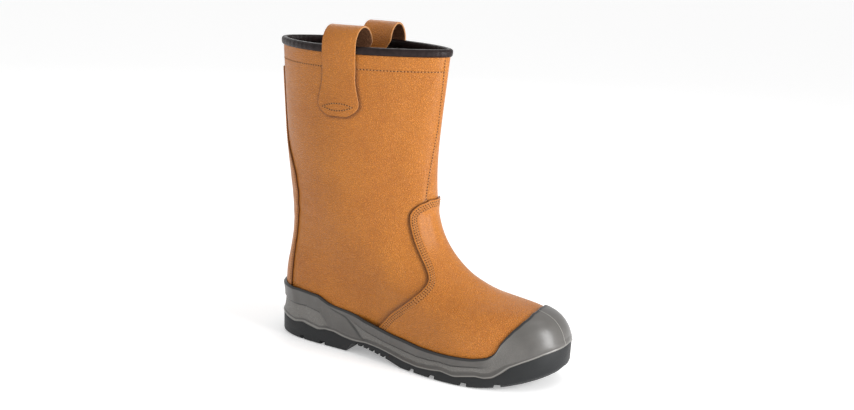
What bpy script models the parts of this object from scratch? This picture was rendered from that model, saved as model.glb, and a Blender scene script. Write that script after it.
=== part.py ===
"""Rigger boot, right foot, built as separate sub-parts.

Frame: metres, +X to the toe, +Y to the inner side of the foot, +Z up.
The origin is on the floor at the middle of the heel's tread.

Every curved piece is laid out on one form, the outside of the leather. A point of the
form has a level, 0 at the bottom edge and 1 at the collar, and a turn, 0 at the back of
the heel, 1 at the front and 2 at the back again, by way of the outer side first.
"""
import math

import bmesh
import bpy
import numpy as np

# overall sizes
FORM_LENGTH = 0.292
COLLAR_HEIGHT = 0.2952
BALL_HALF_WIDTH = 0.050
HEEL_SEAT = 0.032
FORM_BACK = -0.040
# the sole reaches past the form at the toe and at the heel
SOLE_AHEAD = 0.008
SOLE_BEHIND = 0.004
SOLE_LENGTH = FORM_LENGTH + SOLE_AHEAD + SOLE_BEHIND
SOLE_BACK = FORM_BACK - SOLE_BEHIND

# thicknesses and clearances
UPPER_WALL = 0.0024
VAMP_WALL = 0.0018
BACKSTAY_WALL = 0.0012
BINDING_WALL = 0.0011
BINDING_DROP = 0.0052
STRAP_WALL = 0.0021
RIM_WALL = 0.0020
TOE_WALL = 0.0040
SIDE_BULGE = 0.0008
INSOLE_WALL = 0.0040
GAP = 0.0003
PATCH_GAP = 0.0005
LEVEL_SPAN = 0.32

# tread and sole side
GROOVE_DEPTH = 0.0042
GROOVE_WIDTH = 0.0062
CENTRE_GROOVE_DEPTH = 0.0034
CENTRE_GROOVE_WIDTH = 0.0052
RIB_DEPTH = 0.0022
BAND_STEP = 0.0012
LIP_BULGE = 0.0006
SHELL_INSET = 0.0040
SHELL_WALL = 0.0016
TOE_EASE = 0.0016

# pull loops
STRAP_CENTRE = 0.0355
STRAP_WIDTH = 0.033
STRAP_TIP_WIDTH = 0.042
LOOP_RISE = 0.0185
LOOP_REACH = 0.030

# stations around half of the form, as shares of the half turn
STATIONS = (0.0, 0.25, 0.45, 0.62, 0.80, 1.0)

# back and front: place along the form's length. back_rise and front_rise: height above
# the seat, as shares of the height left up to the collar. The last six before sway are
# half widths at the stations, as shares of the ball's half width.
FORM_ROWS = (
    # name, back, front, back_rise, front_rise, heel, quarter, waist, ball, shoulder, toe, sway
    ("feather", 0.017, 0.986, 0.0, 0.0, 1.24, 0.86, 0.62, 0.97, 1.20, 1.46, 1.0),
    ("wall", 0.003, 1.007, 0.046, 0.053, 1.32, 0.94, 0.68, 1.04, 1.27, 1.52, 1.0),
    ("side", 0.0, 1.002, 0.091, 0.093, 1.34, 0.95, 0.69, 1.05, 1.27, 1.48, 1.0),
    ("toe_shoulder", 0.002, 0.976, 0.133, 0.138, 1.33, 0.94, 0.70, 1.01, 1.20, 1.36, 1.0),
    ("cap", 0.007, 0.918, 0.167, 0.174, 1.32, 0.93, 0.71, 0.94, 1.08, 1.20, 1.0),
    ("crown", 0.013, 0.829, 0.198, 0.197, 1.28, 0.91, 0.73, 0.84, 0.93, 0.99, 0.9),
    ("vamp", 0.018, 0.752, 0.232, 0.226, 1.22, 0.88, 0.75, 0.77, 0.80, 0.84, 0.7),
    ("upper_vamp", 0.022, 0.683, 0.270, 0.260, 1.12, 0.86, 0.78, 0.76, 0.76, 0.78, 0.5),
    ("instep", 0.023, 0.620, 0.316, 0.311, 1.02, 0.84, 0.80, 0.78, 0.76, 0.77, 0.3),
    ("throat", 0.020, 0.573, 0.373, 0.380, 0.94, 0.83, 0.83, 0.80, 0.76, 0.76, 0.1),
    ("ankle", 0.009, 0.546, 0.456, 0.480, 0.86, 0.84, 0.86, 0.82, 0.76, 0.74, 0.0),
    ("shaft", -0.011, 0.538, 0.581, 0.611, 0.80, 0.85, 0.90, 0.84, 0.75, 0.70, 0.0),
    ("upper_shaft", -0.036, 0.549, 0.790, 0.811, 0.68, 0.86, 0.94, 0.87, 0.73, 0.62, 0.0),
    ("collar", -0.053, 0.566, 1.0, 1.011, 0.64, 0.85, 0.955, 0.86, 0.71, 0.58, 0.0),
)

# seat: height of the bottom edge as a share of the heel seat, along the form
SEAT_LINE = ((0.0, 1.0), (0.20, 0.97), (0.45, 0.74), (0.68, 0.56), (0.85, 0.58), (1.0, 0.80))
# centre line of the foot, as a share of the ball's half width, + to the inner side
SWAY_LINE = ((0.0, 0.0), (0.15, 0.0), (0.40, -0.06), (0.68, -0.03), (0.88, 0.05), (1.0, 0.14))

# half widths of the sole at the stations, as shares of the ball's half width
SOLE_WIDTHS = (1.38, 1.00, 0.78, 1.13, 1.36, 1.58)
# underside of the tread before the arch is cut, along the sole, as a share of the seat
TREAD_LINE = ((0.0, 0.0), (0.74, 0.0), (0.80, 0.035), (0.87, 0.13), (0.94, 0.29), (1.0, 0.47))
# how much of the tread's edge is rolled under, along the sole, as a share of the seat
ROLL_LINE = ((0.0, 0.05), (0.78, 0.05), (0.86, 0.12), (0.94, 0.19), (1.0, 0.22))
# top of the outsole inside its edge, along the sole, as a share of the seat
CORE_LINE = ((0.0, 0.44), (0.30, 0.41), (0.45, 0.34), (0.60, 0.24), (0.86, 0.28), (1.0, 0.56))
# wavy edge between outsole and midsole, around half a turn, as a share of the seat
LIP_LINE = (
    (0.0, 0.66), (0.12, 0.60), (0.20, 0.51), (0.236, 0.585), (0.26, 0.53), (0.29, 0.47),
    (0.315, 0.545), (0.34, 0.55), (0.365, 0.47), (0.39, 0.43), (0.42, 0.45), (0.455, 0.42),
    (0.49, 0.345), (0.52, 0.27), (0.555, 0.235), (0.585, 0.27), (0.61, 0.325), (0.64, 0.255),
    (0.665, 0.32), (0.69, 0.375), (0.71, 0.35), (0.73, 0.40), (0.75, 0.56), (0.77, 0.75),
    (0.80, 0.89), (0.82, 0.96), (0.866, 1.12), (0.91, 1.20), (1.0, 1.31),
)
# level of the midsole's rim and of the scuff cap's edge, around half a turn
RIM_LEVELS = (
    (0.0, 0.072), (0.12, 0.072), (0.234, 0.070), (0.281, 0.067), (0.312, 0.051), (0.33, 0.046),
    (0.356, 0.045), (0.425, 0.037), (0.484, 0.027), (0.553, 0.022), (0.613, 0.026), (0.687, 0.032),
    (0.722, 0.040), (0.740, 0.055), (0.756, 0.083), (0.775, 0.100), (0.803, 0.118), (0.85, 0.137),
    (0.922, 0.156), (1.0, 0.163),
)
# heights of the three moulded lines on the sole's side, as shares from lip to rim
HEEL_LEDGE = ((0.0, 0.56), (0.22, 0.55), (0.285, 0.52), (0.308, 0.28), (0.325, 0.05), (1.0, 0.05))
CREASE = ((0.0, 0.88), (0.318, 0.88), (0.36, 0.76), (0.40, 0.30), (0.415, 0.11), (1.0, 0.11))
SIDE_LEDGE = (
    (0.0, 0.94), (0.33, 0.93), (0.366, 0.80), (0.385, 0.66), (0.42, 0.54), (0.46, 0.47),
    (0.52, 0.50), (0.62, 0.53), (0.70, 0.50), (0.76, 0.42), (1.0, 0.40),
)
# how far each moulded zone stands out, as a share of the band's step, around half a turn
ZONES = (
    # turn, heel_panel, heel_band, side_panel, side_band
    (0.0, 0.0, 1.0, 1.0, 1.0),
    (0.305, 0.0, 1.0, 1.0, 1.0),
    (0.325, 1.0, 1.0, 0.35, 0.35),
    (0.365, 1.0, 1.0, 0.30, 0.50),
    (0.385, 1.0, 1.0, 0.0, 0.85),
    (0.405, 0.9, 0.9, 0.0, 0.85),
    (0.425, 0.0, 0.0, 0.0, 0.85),
    (0.690, 0.0, 0.0, 0.0, 0.85),
    (0.745, 0.0, 0.0, 0.0, 0.0),
    (1.0, 0.0, 0.0, 0.0, 0.0),
)

# levels shared by the shaft and the pieces laid on it
LEVELS = (
    0.0, 0.025, 0.055, 0.085, 0.115, 0.145, 0.175, 0.21, 0.25, 0.285, 0.31, 0.335, 0.365, 0.41,
    0.45, 0.48, 0.505, 0.522, 0.537, 0.549, 0.60, 0.66, 0.72, 0.80, 0.90, 1.0,
)
# turns shared by every ring round the foot, from the back to the front, and the mirror
TURN_STOPS = ((0.0, 0), (0.28, 8), (0.42, 4), (0.70, 6), (0.80, 4), (1.0, 6))
# vamp's edge: level and turn, from the sole up to the front of the shaft
VAMP_EDGE = (
    (0.0, 0.440), (0.031, 0.447), (0.084, 0.478), (0.105, 0.495), (0.150, 0.538), (0.213, 0.604),
    (0.262, 0.664), (0.288, 0.697), (0.309, 0.722), (0.332, 0.743), (0.363, 0.762), (0.394, 0.771),
    (0.423, 0.775), (0.451, 0.778), (0.479, 0.779), (0.499, 0.782), (0.515, 0.793), (0.528, 0.818),
    (0.540, 0.855), (0.549, 0.908),
)
# back strip's edge: level and turn
BACKSTAY_EDGE = (
    (0.004, 0.150), (0.088, 0.156), (0.200, 0.158), (0.307, 0.165), (0.390, 0.185), (0.448, 0.206),
    (0.530, 0.228), (0.580, 0.225), (0.630, 0.190), (0.680, 0.135), (0.730, 0.095), (0.800, 0.078),
    (0.910, 0.070),
)

# grooves at the tread's sides: place along the sole, reach inwards as a share of the
# ball's half width, width as a share of the groove's, slant in degrees
SIDE_GROOVES = (
    ("heel_corner", 0.112, 0.55, 0.70, -38.0),
    ("heel_mid", 0.208, 0.62, 1.00, -8.0),
    ("ball_rear", 0.556, 0.66, 0.90, 10.0),
    ("ball", 0.627, 0.68, 1.00, 12.0),
    ("ball_front", 0.731, 0.70, 1.05, 14.0),
    ("toe_rear", 0.836, 0.62, 1.05, 18.0),
)
# grooves across the middle of the tread: place along the sole, half length as a share of
# the ball's half width
CENTRE_GROOVES = (
    ("heel_cross", 0.176, 0.40),
    ("ball_cross_rear", 0.592, 0.42),
    ("ball_cross_mid", 0.680, 0.46),
    ("ball_cross_front", 0.784, 0.44),
)
# arch under the waist: place along the sole and height as a share of the seat
ARCH_CUT = ((0.300, -0.10), (0.300, 0.0), (0.327, 0.33), (0.38, 0.29), (0.46, 0.17), (0.535, 0.0), (0.535, -0.10))
ARCH_RIBS = (0.345, 0.367, 0.389, 0.411, 0.433, 0.455)

COLOURS = {
    "leather": (0.56, 0.225, 0.05, 0.48),
    "strap_leather": (0.52, 0.20, 0.045, 0.52),
    "grey_polyurethane": (0.115, 0.108, 0.098, 0.50),
    "black_rubber": (0.020, 0.021, 0.022, 0.60),
    "dark_binding": (0.022, 0.013, 0.013, 0.35),
    "dark_textile": (0.030, 0.022, 0.020, 0.95),
}


def clear_scene():
    for obj in list(bpy.data.objects):
        bpy.data.objects.remove(obj, do_unlink=True)


def spline(knots, values, places, clamped=False):
    """Cubic spline through values; values may have one column for each place."""
    knots = np.asarray(knots, float)
    values = np.asarray(values, float)
    places = np.asarray(places, float)
    single = values.ndim == 1
    if single:
        values = values[:, None]
    steps = np.diff(knots)
    slopes = np.diff(values, axis=0) / steps[:, None]
    count = len(knots)
    matrix = np.zeros((count, count))
    right = np.zeros_like(values)
    matrix[0, 0] = matrix[-1, -1] = 1.0
    if clamped:
        matrix[0, 0], matrix[0, 1] = 2.0 * steps[0], steps[0]
        matrix[-1, -1], matrix[-1, -2] = 2.0 * steps[-1], steps[-1]
        right[0] = 6.0 * slopes[0]
        right[-1] = -6.0 * slopes[-1]
    for i in range(1, count - 1):
        matrix[i, i - 1:i + 2] = steps[i - 1], 2.0 * (steps[i - 1] + steps[i]), steps[i]
        right[i] = 6.0 * (slopes[i] - slopes[i - 1])
    bend = np.linalg.solve(matrix, right)
    cell = np.clip(np.searchsorted(knots, places) - 1, 0, count - 2)
    column = np.zeros(len(places), int) if single else np.arange(len(places))
    before = places - knots[cell]
    after = knots[cell + 1] - places
    step = steps[cell]
    cubic = (bend[cell, column] * after**3 + bend[cell + 1, column] * before**3) / (6.0 * step)
    start = (values[cell, column] / step - bend[cell, column] * step / 6.0) * after
    end = (values[cell + 1, column] / step - bend[cell + 1, column] * step / 6.0) * before
    return cubic + start + end


def smooth_line(table, places):
    return spline([p[0] for p in table], [p[1] for p in table], np.ravel(places)).reshape(np.shape(places))


def straight_line(table, places):
    return np.interp(places, [p[0] for p in table], [p[1] for p in table])


def ease(value):
    value = np.clip(value, 0.0, 1.0)
    return value * value * (3.0 - 2.0 * value)


def half_turn(turn):
    return np.where(turn > 1.0, 2.0 - turn, turn)


def seat_height(share):
    return HEEL_SEAT * smooth_line(SEAT_LINE, np.clip(share, 0.0, 1.0))


def sway(share):
    return BALL_HALF_WIDTH * smooth_line(SWAY_LINE, np.clip(share, 0.0, 1.0))


def row_levels():
    """Place of each form row between the bottom edge and the collar."""
    corners = []
    for row in FORM_ROWS:
        ends = []
        for share, rise in ((row[1], row[3]), (row[2], row[4])):
            base = float(seat_height(np.array([share]))[0])
            ends += [share * FORM_LENGTH, base + rise * (COLLAR_HEIGHT - base)]
        corners.append(ends)
    step = np.diff(np.array(corners), axis=0)
    length = np.hypot(step[:, 0], step[:, 1]) + np.hypot(step[:, 2], step[:, 3])
    place = np.concatenate([[0.0], np.cumsum(length)])
    return place / place[-1]


ROW_LEVELS = row_levels()


def form_points(level, turn):
    """Points of the form; level and turn are arrays of the same shape."""
    level, turn = np.broadcast_arrays(np.asarray(level, float), np.asarray(turn, float))
    shape = level.shape
    level, turn = level.ravel(), turn.ravel()
    half = half_turn(turn)
    side = np.where(turn > 1.0, 1.0, -1.0)
    columns = [spline(ROW_LEVELS, [row[i] for row in FORM_ROWS], level) for i in range(1, 12)]
    back, front, back_rise, front_rise = columns[:4]
    along = (1.0 - np.cos(math.pi * half)) / 2.0
    share = back + (front - back) * along
    rise = back_rise + (front_rise - back_rise) * along
    base = seat_height(share)
    full = spline(STATIONS, np.array(columns[4:10]), half, clamped=True)
    across = side * BALL_HALF_WIDTH * full * np.sin(math.pi * half)
    points = np.stack([
        FORM_BACK + FORM_LENGTH * share,
        columns[10] * sway(share) + across,
        base + rise * (COLLAR_HEIGHT - base),
    ], axis=-1)
    return points.reshape(shape + (3,))


def form_normals(level, turn):
    level, turn = np.broadcast_arrays(np.asarray(level, float), np.asarray(turn, float))
    step = 0.002
    low = np.clip(level - step, 0.0, 1.0)
    high = np.clip(level + step, 0.0, 1.0)
    upward = form_points(high, turn) - form_points(low, turn)
    around = form_points(level, np.mod(turn + step, 2.0)) - form_points(level, np.mod(turn - step, 2.0))
    normal = np.cross(around, upward)
    return normal / np.linalg.norm(normal, axis=-1, keepdims=True)


def vamp_turn(level):
    """Turn of the vamp's edge at a level."""
    return straight_line(VAMP_EDGE, level)


def sunk(level, turn):
    """How far the shaft lies under the form where the vamp covers it."""
    half = half_turn(turn)
    inside = (half - vamp_turn(level)) * math.pi * BALL_HALF_WIDTH
    below = (VAMP_EDGE[-1][0] - level) * LEVEL_SPAN
    return (VAMP_WALL + PATCH_GAP) * ease(np.minimum(inside, below) / 0.016)


def leather_points(level, turn, offset):
    """Points at an offset from the shaft's outside."""
    depth = np.asarray(offset - sunk(level, turn))
    return form_points(level, turn) + form_normals(level, turn) * depth[..., None]


def new_object(name, vertices, faces, material, collection, sheet=False):
    mesh = bpy.data.meshes.new(name)
    mesh.from_pydata([tuple(v) for v in vertices], [], faces)
    mesh.update()
    obj = bpy.data.objects.new(name, mesh)
    obj.data.materials.append(material)
    collection.objects.link(obj)
    if not sheet:
        tidy = bmesh.new()
        tidy.from_mesh(mesh)
        bmesh.ops.recalc_face_normals(tidy, faces=tidy.faces)
        tidy.to_mesh(mesh)
        tidy.free()
    return obj


def grid_faces(rows, columns, closed, diagonal=0):
    """Quads of a grid, or triangles with their diagonal one way (1) or the other (-1)."""
    faces = []
    across = columns if closed else columns - 1
    for i in range(rows - 1):
        for j in range(across):
            k = (j + 1) % columns
            a, b = i * columns + j, i * columns + k
            c, d = (i + 1) * columns + k, (i + 1) * columns + j
            if diagonal == 0:
                faces.append((a, b, c, d))
            elif diagonal == 1:
                faces += [(a, b, c), (a, c, d)]
            else:
                faces += [(a, b, d), (b, c, d)]
    return faces


def lid_faces(start, columns, flip):
    """Close a ring by strips between its outer and its inner side."""
    faces = []
    half = columns // 2
    for j in range(half):
        left = (start + j, start + j + 1)
        right = (start + (columns - j) % columns, start + columns - j - 1)
        face = [left[0], left[1], right[1], right[0]]
        face = [v for i, v in enumerate(face) if v not in face[:i]]
        faces.append(tuple(reversed(face)) if flip else tuple(face))
    return faces


def ring_solid(name, rings, diagonal, material, collection):
    """A solid from rings of equal count, with its first and last ring closed across."""
    columns = len(rings[0])
    faces = grid_faces(len(rings), columns, True, diagonal)
    faces += lid_faces(0, columns, False)
    faces += lid_faces((len(rings) - 1) * columns, columns, True)
    return new_object(name, np.concatenate(rings), faces, material, collection)


def thicken(obj, thickness):
    """Give a sheet its thickness on the side away from its normals."""
    shell = obj.modifiers.new("wall", "SOLIDIFY")
    shell.thickness = thickness
    shell.offset = -1.0
    shell.use_even_offset = True
    shell.use_quality_normals = True
    return shell


def half_ring_turns(parts):
    """Turns from the back round to the front, with the given count between stops."""
    turns = [parts[0][0]]
    for (start, _), (end, count) in zip(parts[:-1], parts[1:]):
        turns += list(np.linspace(start, end, count + 1)[1:])
    half = np.array(turns)
    return np.concatenate([half, 2.0 - half[-2:0:-1]])


TURNS = half_ring_turns(TURN_STOPS)


def build_upper(material, collection):
    turns = TURNS
    levels = LEVELS
    level, turn = np.meshgrid(levels, turns, indexing="ij")
    points = leather_points(level, turn, 0.0)
    faces = grid_faces(len(levels), len(turns), True)
    obj = new_object("upper", points.reshape(-1, 3), faces, material, collection, sheet=True)
    thicken(obj, UPPER_WALL)
    return obj


def patch(name, edge, levels, offset, wall, material, collection, front):
    """A sheet on the form that ends at its edge line, with a wall of its own."""
    stops = TURNS[:len(TURNS) // 2 + 1]
    room = 0.35 * np.gradient(stops)
    rows = []
    for level in levels:
        limit = float(straight_line(edge, level))
        if front:
            half = np.where(stops < limit + room, limit, stops)
            rows.append(np.concatenate([half, 2.0 - half[-2::-1]]))
        else:
            half = np.where(stops > limit - room, limit, stops)
            rows.append(np.mod(np.concatenate([-half[:0:-1], half]), 2.0))
    turn = np.array(rows)
    level = np.repeat(np.asarray(levels)[:, None], turn.shape[1], axis=1)
    points = leather_points(level, turn, offset + wall)
    faces = grid_faces(len(levels), turn.shape[1], False)
    obj = new_object(name, points.reshape(-1, 3), faces, material, collection, sheet=True)
    weld(obj)
    thicken(obj, wall)
    return obj


def weld(obj):
    """Merge the points that an edge line has brought together."""
    mesh = bmesh.new()
    mesh.from_mesh(obj.data)
    bmesh.ops.remove_doubles(mesh, verts=mesh.verts, dist=0.00001)
    bmesh.ops.dissolve_degenerate(mesh, dist=0.00001, edges=mesh.edges)
    mesh.to_mesh(obj.data)
    mesh.free()


def build_vamp(material, collection):
    levels = [0.006] + [v for v in LEVELS if 0.01 < v <= VAMP_EDGE[-1][0]]
    return patch("vamp", VAMP_EDGE, levels, PATCH_GAP, VAMP_WALL, material, collection, True)


def build_backstay(material, collection):
    levels = [0.006] + [v for v in LEVELS if 0.01 < v <= BACKSTAY_EDGE[-1][0]]
    return patch("backstay", BACKSTAY_EDGE, levels, PATCH_GAP, BACKSTAY_WALL, material, collection, False)


def build_binding(material, collection):
    """Rolled band over the collar's edge, an upside-down U in section."""
    turns = TURNS
    out = GAP + BINDING_WALL
    inner = -UPPER_WALL - GAP
    section = (
        (GAP, -BINDING_DROP), (out, -BINDING_DROP), (out + 0.0002, 0.0),
        (0.3 * out, GAP + BINDING_WALL), (0.7 * inner, GAP + 1.2 * BINDING_WALL),
        (inner - BINDING_WALL, 0.0004), (inner - BINDING_WALL, -BINDING_DROP),
        (inner, -BINDING_DROP), (inner, GAP), (GAP, GAP),
    )
    rim = form_points(np.ones_like(turns), turns)
    normal = form_normals(np.ones_like(turns), turns)
    below = rim - form_points(np.full_like(turns, 0.98), turns)
    upward = below / np.linalg.norm(below, axis=1, keepdims=True)
    rings = [rim + normal * a + upward * b for a, b in section]
    count = len(turns)
    faces = grid_faces(len(rings), count, True)
    last = (len(rings) - 1) * count
    for j in range(count):
        k = (j + 1) % count
        faces.append((last + j, last + k, k, j))
    return new_object("collar_binding", np.concatenate(rings), faces, material, collection)


def strap_line():
    """Levels of the strap up the wall, then its arch as ways in and up from the rim."""
    rows = [0.792, 0.797, 0.808, 0.83, 0.87, 0.91, 0.945, 0.968, 0.984]
    arch = []
    reach = LOOP_REACH + STRAP_WALL
    for degrees in (0, 25, 50, 75, 105, 130, 155, 180):
        angle = math.radians(degrees)
        arch.append((0.5 * reach * (1.0 - math.cos(angle)), LOOP_RISE * math.sin(angle)))
    return rows, arch


def build_loop(name, side, material, collection):
    """Leather strap from the outside of the shaft over the collar to its inside."""
    columns = 7
    across = np.linspace(-1.0, 1.0, columns)
    rows, arch = strap_line()
    clear = GAP + STRAP_WALL
    over = GAP + BINDING_WALL + 0.0003 + GAP + STRAP_WALL
    grid = []
    for level in rows:
        run = (level - 0.792) * LEVEL_SPAN
        width = STRAP_WIDTH + (STRAP_TIP_WIDTH - STRAP_WIDTH) * (1.0 - ease((run - 0.008) / 0.030))
        round_off = math.sqrt(max(1.0 - max(1.0 - (run + 0.0035) / 0.016, 0.0) ** 2, 0.0))
        half = 0.5 * width * round_off
        offset = clear + (over - clear) * float(ease((level - 0.93) / 0.045))
        grid.append(wall_row(level, STRAP_CENTRE + across * half, offset, side))
    rim = wall_row(1.0, STRAP_CENTRE + across * 0.5 * STRAP_WIDTH, over, side)
    for inward, rise in arch:
        grid.append(rim + np.array([0.0, -side * inward, 0.0015 + rise]))
    inside = UPPER_WALL + 2.0 * GAP + STRAP_WALL
    away = LOOP_REACH + STRAP_WALL - over - inside
    for level in (0.985, 0.96, 0.935, 0.91, 0.885, 0.86, 0.82):
        offset = inside + away * float(ease((level - 0.85) / 0.13))
        grid.append(wall_row(level, STRAP_CENTRE + across * 0.5 * STRAP_WIDTH, -offset, side))
    points = np.array(grid)
    faces = grid_faces(len(grid), columns, False)
    if side > 0.0:
        faces = [tuple(reversed(face)) for face in faces]
    obj = new_object(name, points.reshape(-1, 3), faces, material, collection, sheet=True)
    thicken(obj, STRAP_WALL)
    return obj


def wall_row(level, x_places, offset, side):
    """Points of the form's wall at one level that have the given x, at an offset."""
    turns = np.linspace(0.2, 0.8, 241)
    if side > 0.0:
        turns = 2.0 - turns
    points = form_points(np.full_like(turns, level), turns)
    turn = np.interp(x_places, points[:, 0], turns)
    levels = np.full_like(turn, level)
    return form_points(levels, turn) + form_normals(levels, turn) * offset


def sole_outline(turns, inset):
    half = half_turn(turns)
    side = np.where(turns > 1.0, 1.0, -1.0)
    along = (1.0 - np.cos(math.pi * half)) / 2.0
    x = SOLE_BACK + inset + (SOLE_LENGTH - 2.0 * inset) * along
    full = BALL_HALF_WIDTH * spline(STATIONS, SOLE_WIDTHS, half, clamped=True) - inset
    centre = sway((x - FORM_BACK) / FORM_LENGTH)
    return np.stack([x, centre + side * full * np.sin(math.pi * half)], axis=-1)


def sole_ring(turns, inset, heights):
    return np.column_stack([sole_outline(turns, inset), heights])


def sole_share(turns, inset=0.0):
    return (sole_outline(turns, inset)[:, 0] - SOLE_BACK) / SOLE_LENGTH


def lip_height(turns):
    return HEEL_SEAT * straight_line(LIP_LINE, half_turn(turns))


def clearance(turns):
    """Room that the midsole leaves for the vamp and the back strip."""
    half = half_turn(turns)
    back = (BACKSTAY_WALL + PATCH_GAP) * (1.0 - ease((half - 0.175) / 0.035))
    front = (VAMP_WALL + PATCH_GAP) * ease((half - 0.385) / 0.035)
    return 1.3 * GAP + back + front


def wall_rings(turns):
    """Outer rings of the midsole and scuff cap, from the lip up to the rim."""
    half = half_turn(turns)
    rim = straight_line(RIM_LEVELS, half)
    toe = ease((half - 0.70) / 0.14)
    inside = clearance(turns)
    low = sole_ring(turns, -LIP_BULGE, lip_height(turns) + GAP)
    high = leather_points(rim, turns, inside + RIM_WALL)
    shoulder_level = rim * (0.30 + 0.12 * toe)
    swell = SIDE_BULGE + (TOE_WALL - RIM_WALL) * toe
    middle = leather_points(shoulder_level, turns, inside + RIM_WALL + swell)
    out = sole_outline(turns, -0.001) - sole_outline(turns, 0.0)
    out = out / np.linalg.norm(out, axis=1, keepdims=True)
    out = np.column_stack([out, np.zeros(len(out))])
    share = (middle[:, 2] - low[:, 2]) / (high[:, 2] - low[:, 2])
    share = np.clip(share, 0.25, 0.75)[:, None]
    table = np.array(ZONES)
    zone = [np.interp(half, table[:, 0], table[:, i]) for i in range(1, 5)]
    step = 0.018
    ledge = np.clip(straight_line(HEEL_LEDGE, half), 0.05, 0.90)
    crease = np.maximum(straight_line(CREASE, half), ledge + 0.05)
    side = np.maximum(straight_line(SIDE_LEDGE, half), crease + 0.05)
    places = [
        (ledge - step, zone[0]), (ledge + step, zone[1]), (crease - step, zone[1]), (crease + step, zone[2]),
        (side - step, zone[2]), (side + step, zone[3]), (np.full_like(half, 0.985) * 0.5 + 0.5 * side, zone[3]),
    ]
    rings = [low]
    for place, proud in places:
        w = place[:, None]
        a = (w - share) * (w - 1.0) / share
        b = w * (w - 1.0) / (share * (share - 1.0))
        c = w * (w - share) / (1.0 - share)
        side_point = low * a + middle * b + high * c
        # over the toe the cap follows the leather and thins out towards its edge
        up = np.clip((place - share[:, 0]) / (1.0 - share[:, 0]), 0.0, 1.0)
        level = shoulder_level + (rim - shoulder_level) * up
        dome = leather_points(level, turns, inside + RIM_WALL + swell * (1.0 - up))
        dome = np.where(w < share, side_point, dome)
        point = side_point + (dome - side_point) * toe[:, None]
        rings.append(point + out * (proud * BAND_STEP * (1.0 - toe))[:, None])
    rings.append(high + out * (zone[3] * 0.5 * BAND_STEP * (1.0 - toe))[:, None])
    return rings


def build_midsole(material, collection):
    """Cup of grey foam with the scuff cap moulded on over the toe."""
    turns = TURNS
    rim = straight_line(RIM_LEVELS, half_turn(turns))
    inside = clearance(turns)
    core_share = sole_share(turns, SHELL_INSET)
    core = HEEL_SEAT * smooth_line(CORE_LINE, core_share)
    lip = lip_height(turns)
    shift = 1.5 * GAP * np.clip((lip - core) / 0.003, -1.0, 1.0)
    rings = [sole_ring(turns, SHELL_INSET + shift, core + GAP)]
    rings.append(sole_ring(turns, SHELL_WALL + shift, lip + GAP))
    rings += wall_rings(turns)
    toe = ease((half_turn(turns) - 0.70) / 0.08)
    rings.append(leather_points(rim + 0.0015, turns, inside))
    for share, room in ((0.92, 0.5), (0.74, 1.0), (0.48, 1.0), (0.20, 0.6)):
        rings.append(leather_points(rim * share, turns, inside + room * TOE_EASE * toe))
    foot = leather_points(np.zeros_like(turns), turns, inside)
    foot[:, 2] = seat_height((foot[:, 0] - FORM_BACK) / FORM_LENGTH) - GAP
    rings.append(foot)
    floor = leather_points(np.zeros_like(turns), turns, -UPPER_WALL - 0.002)
    floor[:, 2] = seat_height((floor[:, 0] - FORM_BACK) / FORM_LENGTH) - GAP
    rings.append(floor)
    return ring_solid("midsole", rings, 1, material, collection)


def build_outsole(material, collection, cutters):
    turns = TURNS
    share = sole_share(turns)
    roll = HEEL_SEAT * straight_line(ROLL_LINE, share)
    tread = HEEL_SEAT * smooth_line(TREAD_LINE, share)
    tread = np.where(share < TREAD_LINE[1][0], 0.0, np.maximum(tread, 0.0))
    lip = lip_height(turns)
    core_share = sole_share(turns, SHELL_INSET)
    core = HEEL_SEAT * smooth_line(CORE_LINE, core_share)
    bottom_share = sole_share(turns, 0.0035)
    bottom = HEEL_SEAT * smooth_line(TREAD_LINE, bottom_share)
    bottom = np.where(bottom_share < TREAD_LINE[1][0], 0.0, np.maximum(bottom, 0.0))
    rings = [
        sole_ring(turns, 0.0012 + 1.2 * roll, bottom),
        sole_ring(turns, 0.0004 + 0.35 * roll, tread + 0.45 * roll),
        sole_ring(turns, 0.0, tread + roll + 0.001),
        sole_ring(turns, -0.5 * LIP_BULGE, lip),
        sole_ring(turns, SHELL_WALL, lip),
        sole_ring(turns, SHELL_INSET, core),
    ]
    obj = ring_solid("outsole", rings, -1, material, collection)
    for name, pieces in tread_cutters():
        vertices, faces = [], []
        for piece in pieces:
            start = len(vertices)
            vertices += piece[0]
            faces += [tuple(start + i for i in face) for face in piece[1]]
        cutter = new_object(name, vertices, faces, material, cutters)
        cutter.hide_render = True
        cutter.display_type = "WIRE"
        cut = obj.modifiers.new(name, "BOOLEAN")
        cut.operation = "DIFFERENCE"
        cut.solver = "EXACT"
        cut.object = cutter
    return obj


def box_piece(centre, size, degrees, low, high):
    """Vertices and faces of an upright box turned about Z."""
    cos, sin = math.cos(math.radians(degrees)), math.sin(math.radians(degrees))
    corners = []
    for z in (low, high):
        for dx, dy in ((-0.5, -0.5), (0.5, -0.5), (0.5, 0.5), (-0.5, 0.5)):
            x, y = dx * size[0], dy * size[1]
            corners.append((centre[0] + x * cos - y * sin, centre[1] + x * sin + y * cos, z))
    faces = [(0, 3, 2, 1), (4, 5, 6, 7), (0, 1, 5, 4), (1, 2, 6, 5), (2, 3, 7, 6), (3, 0, 4, 7)]
    return corners, faces


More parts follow.
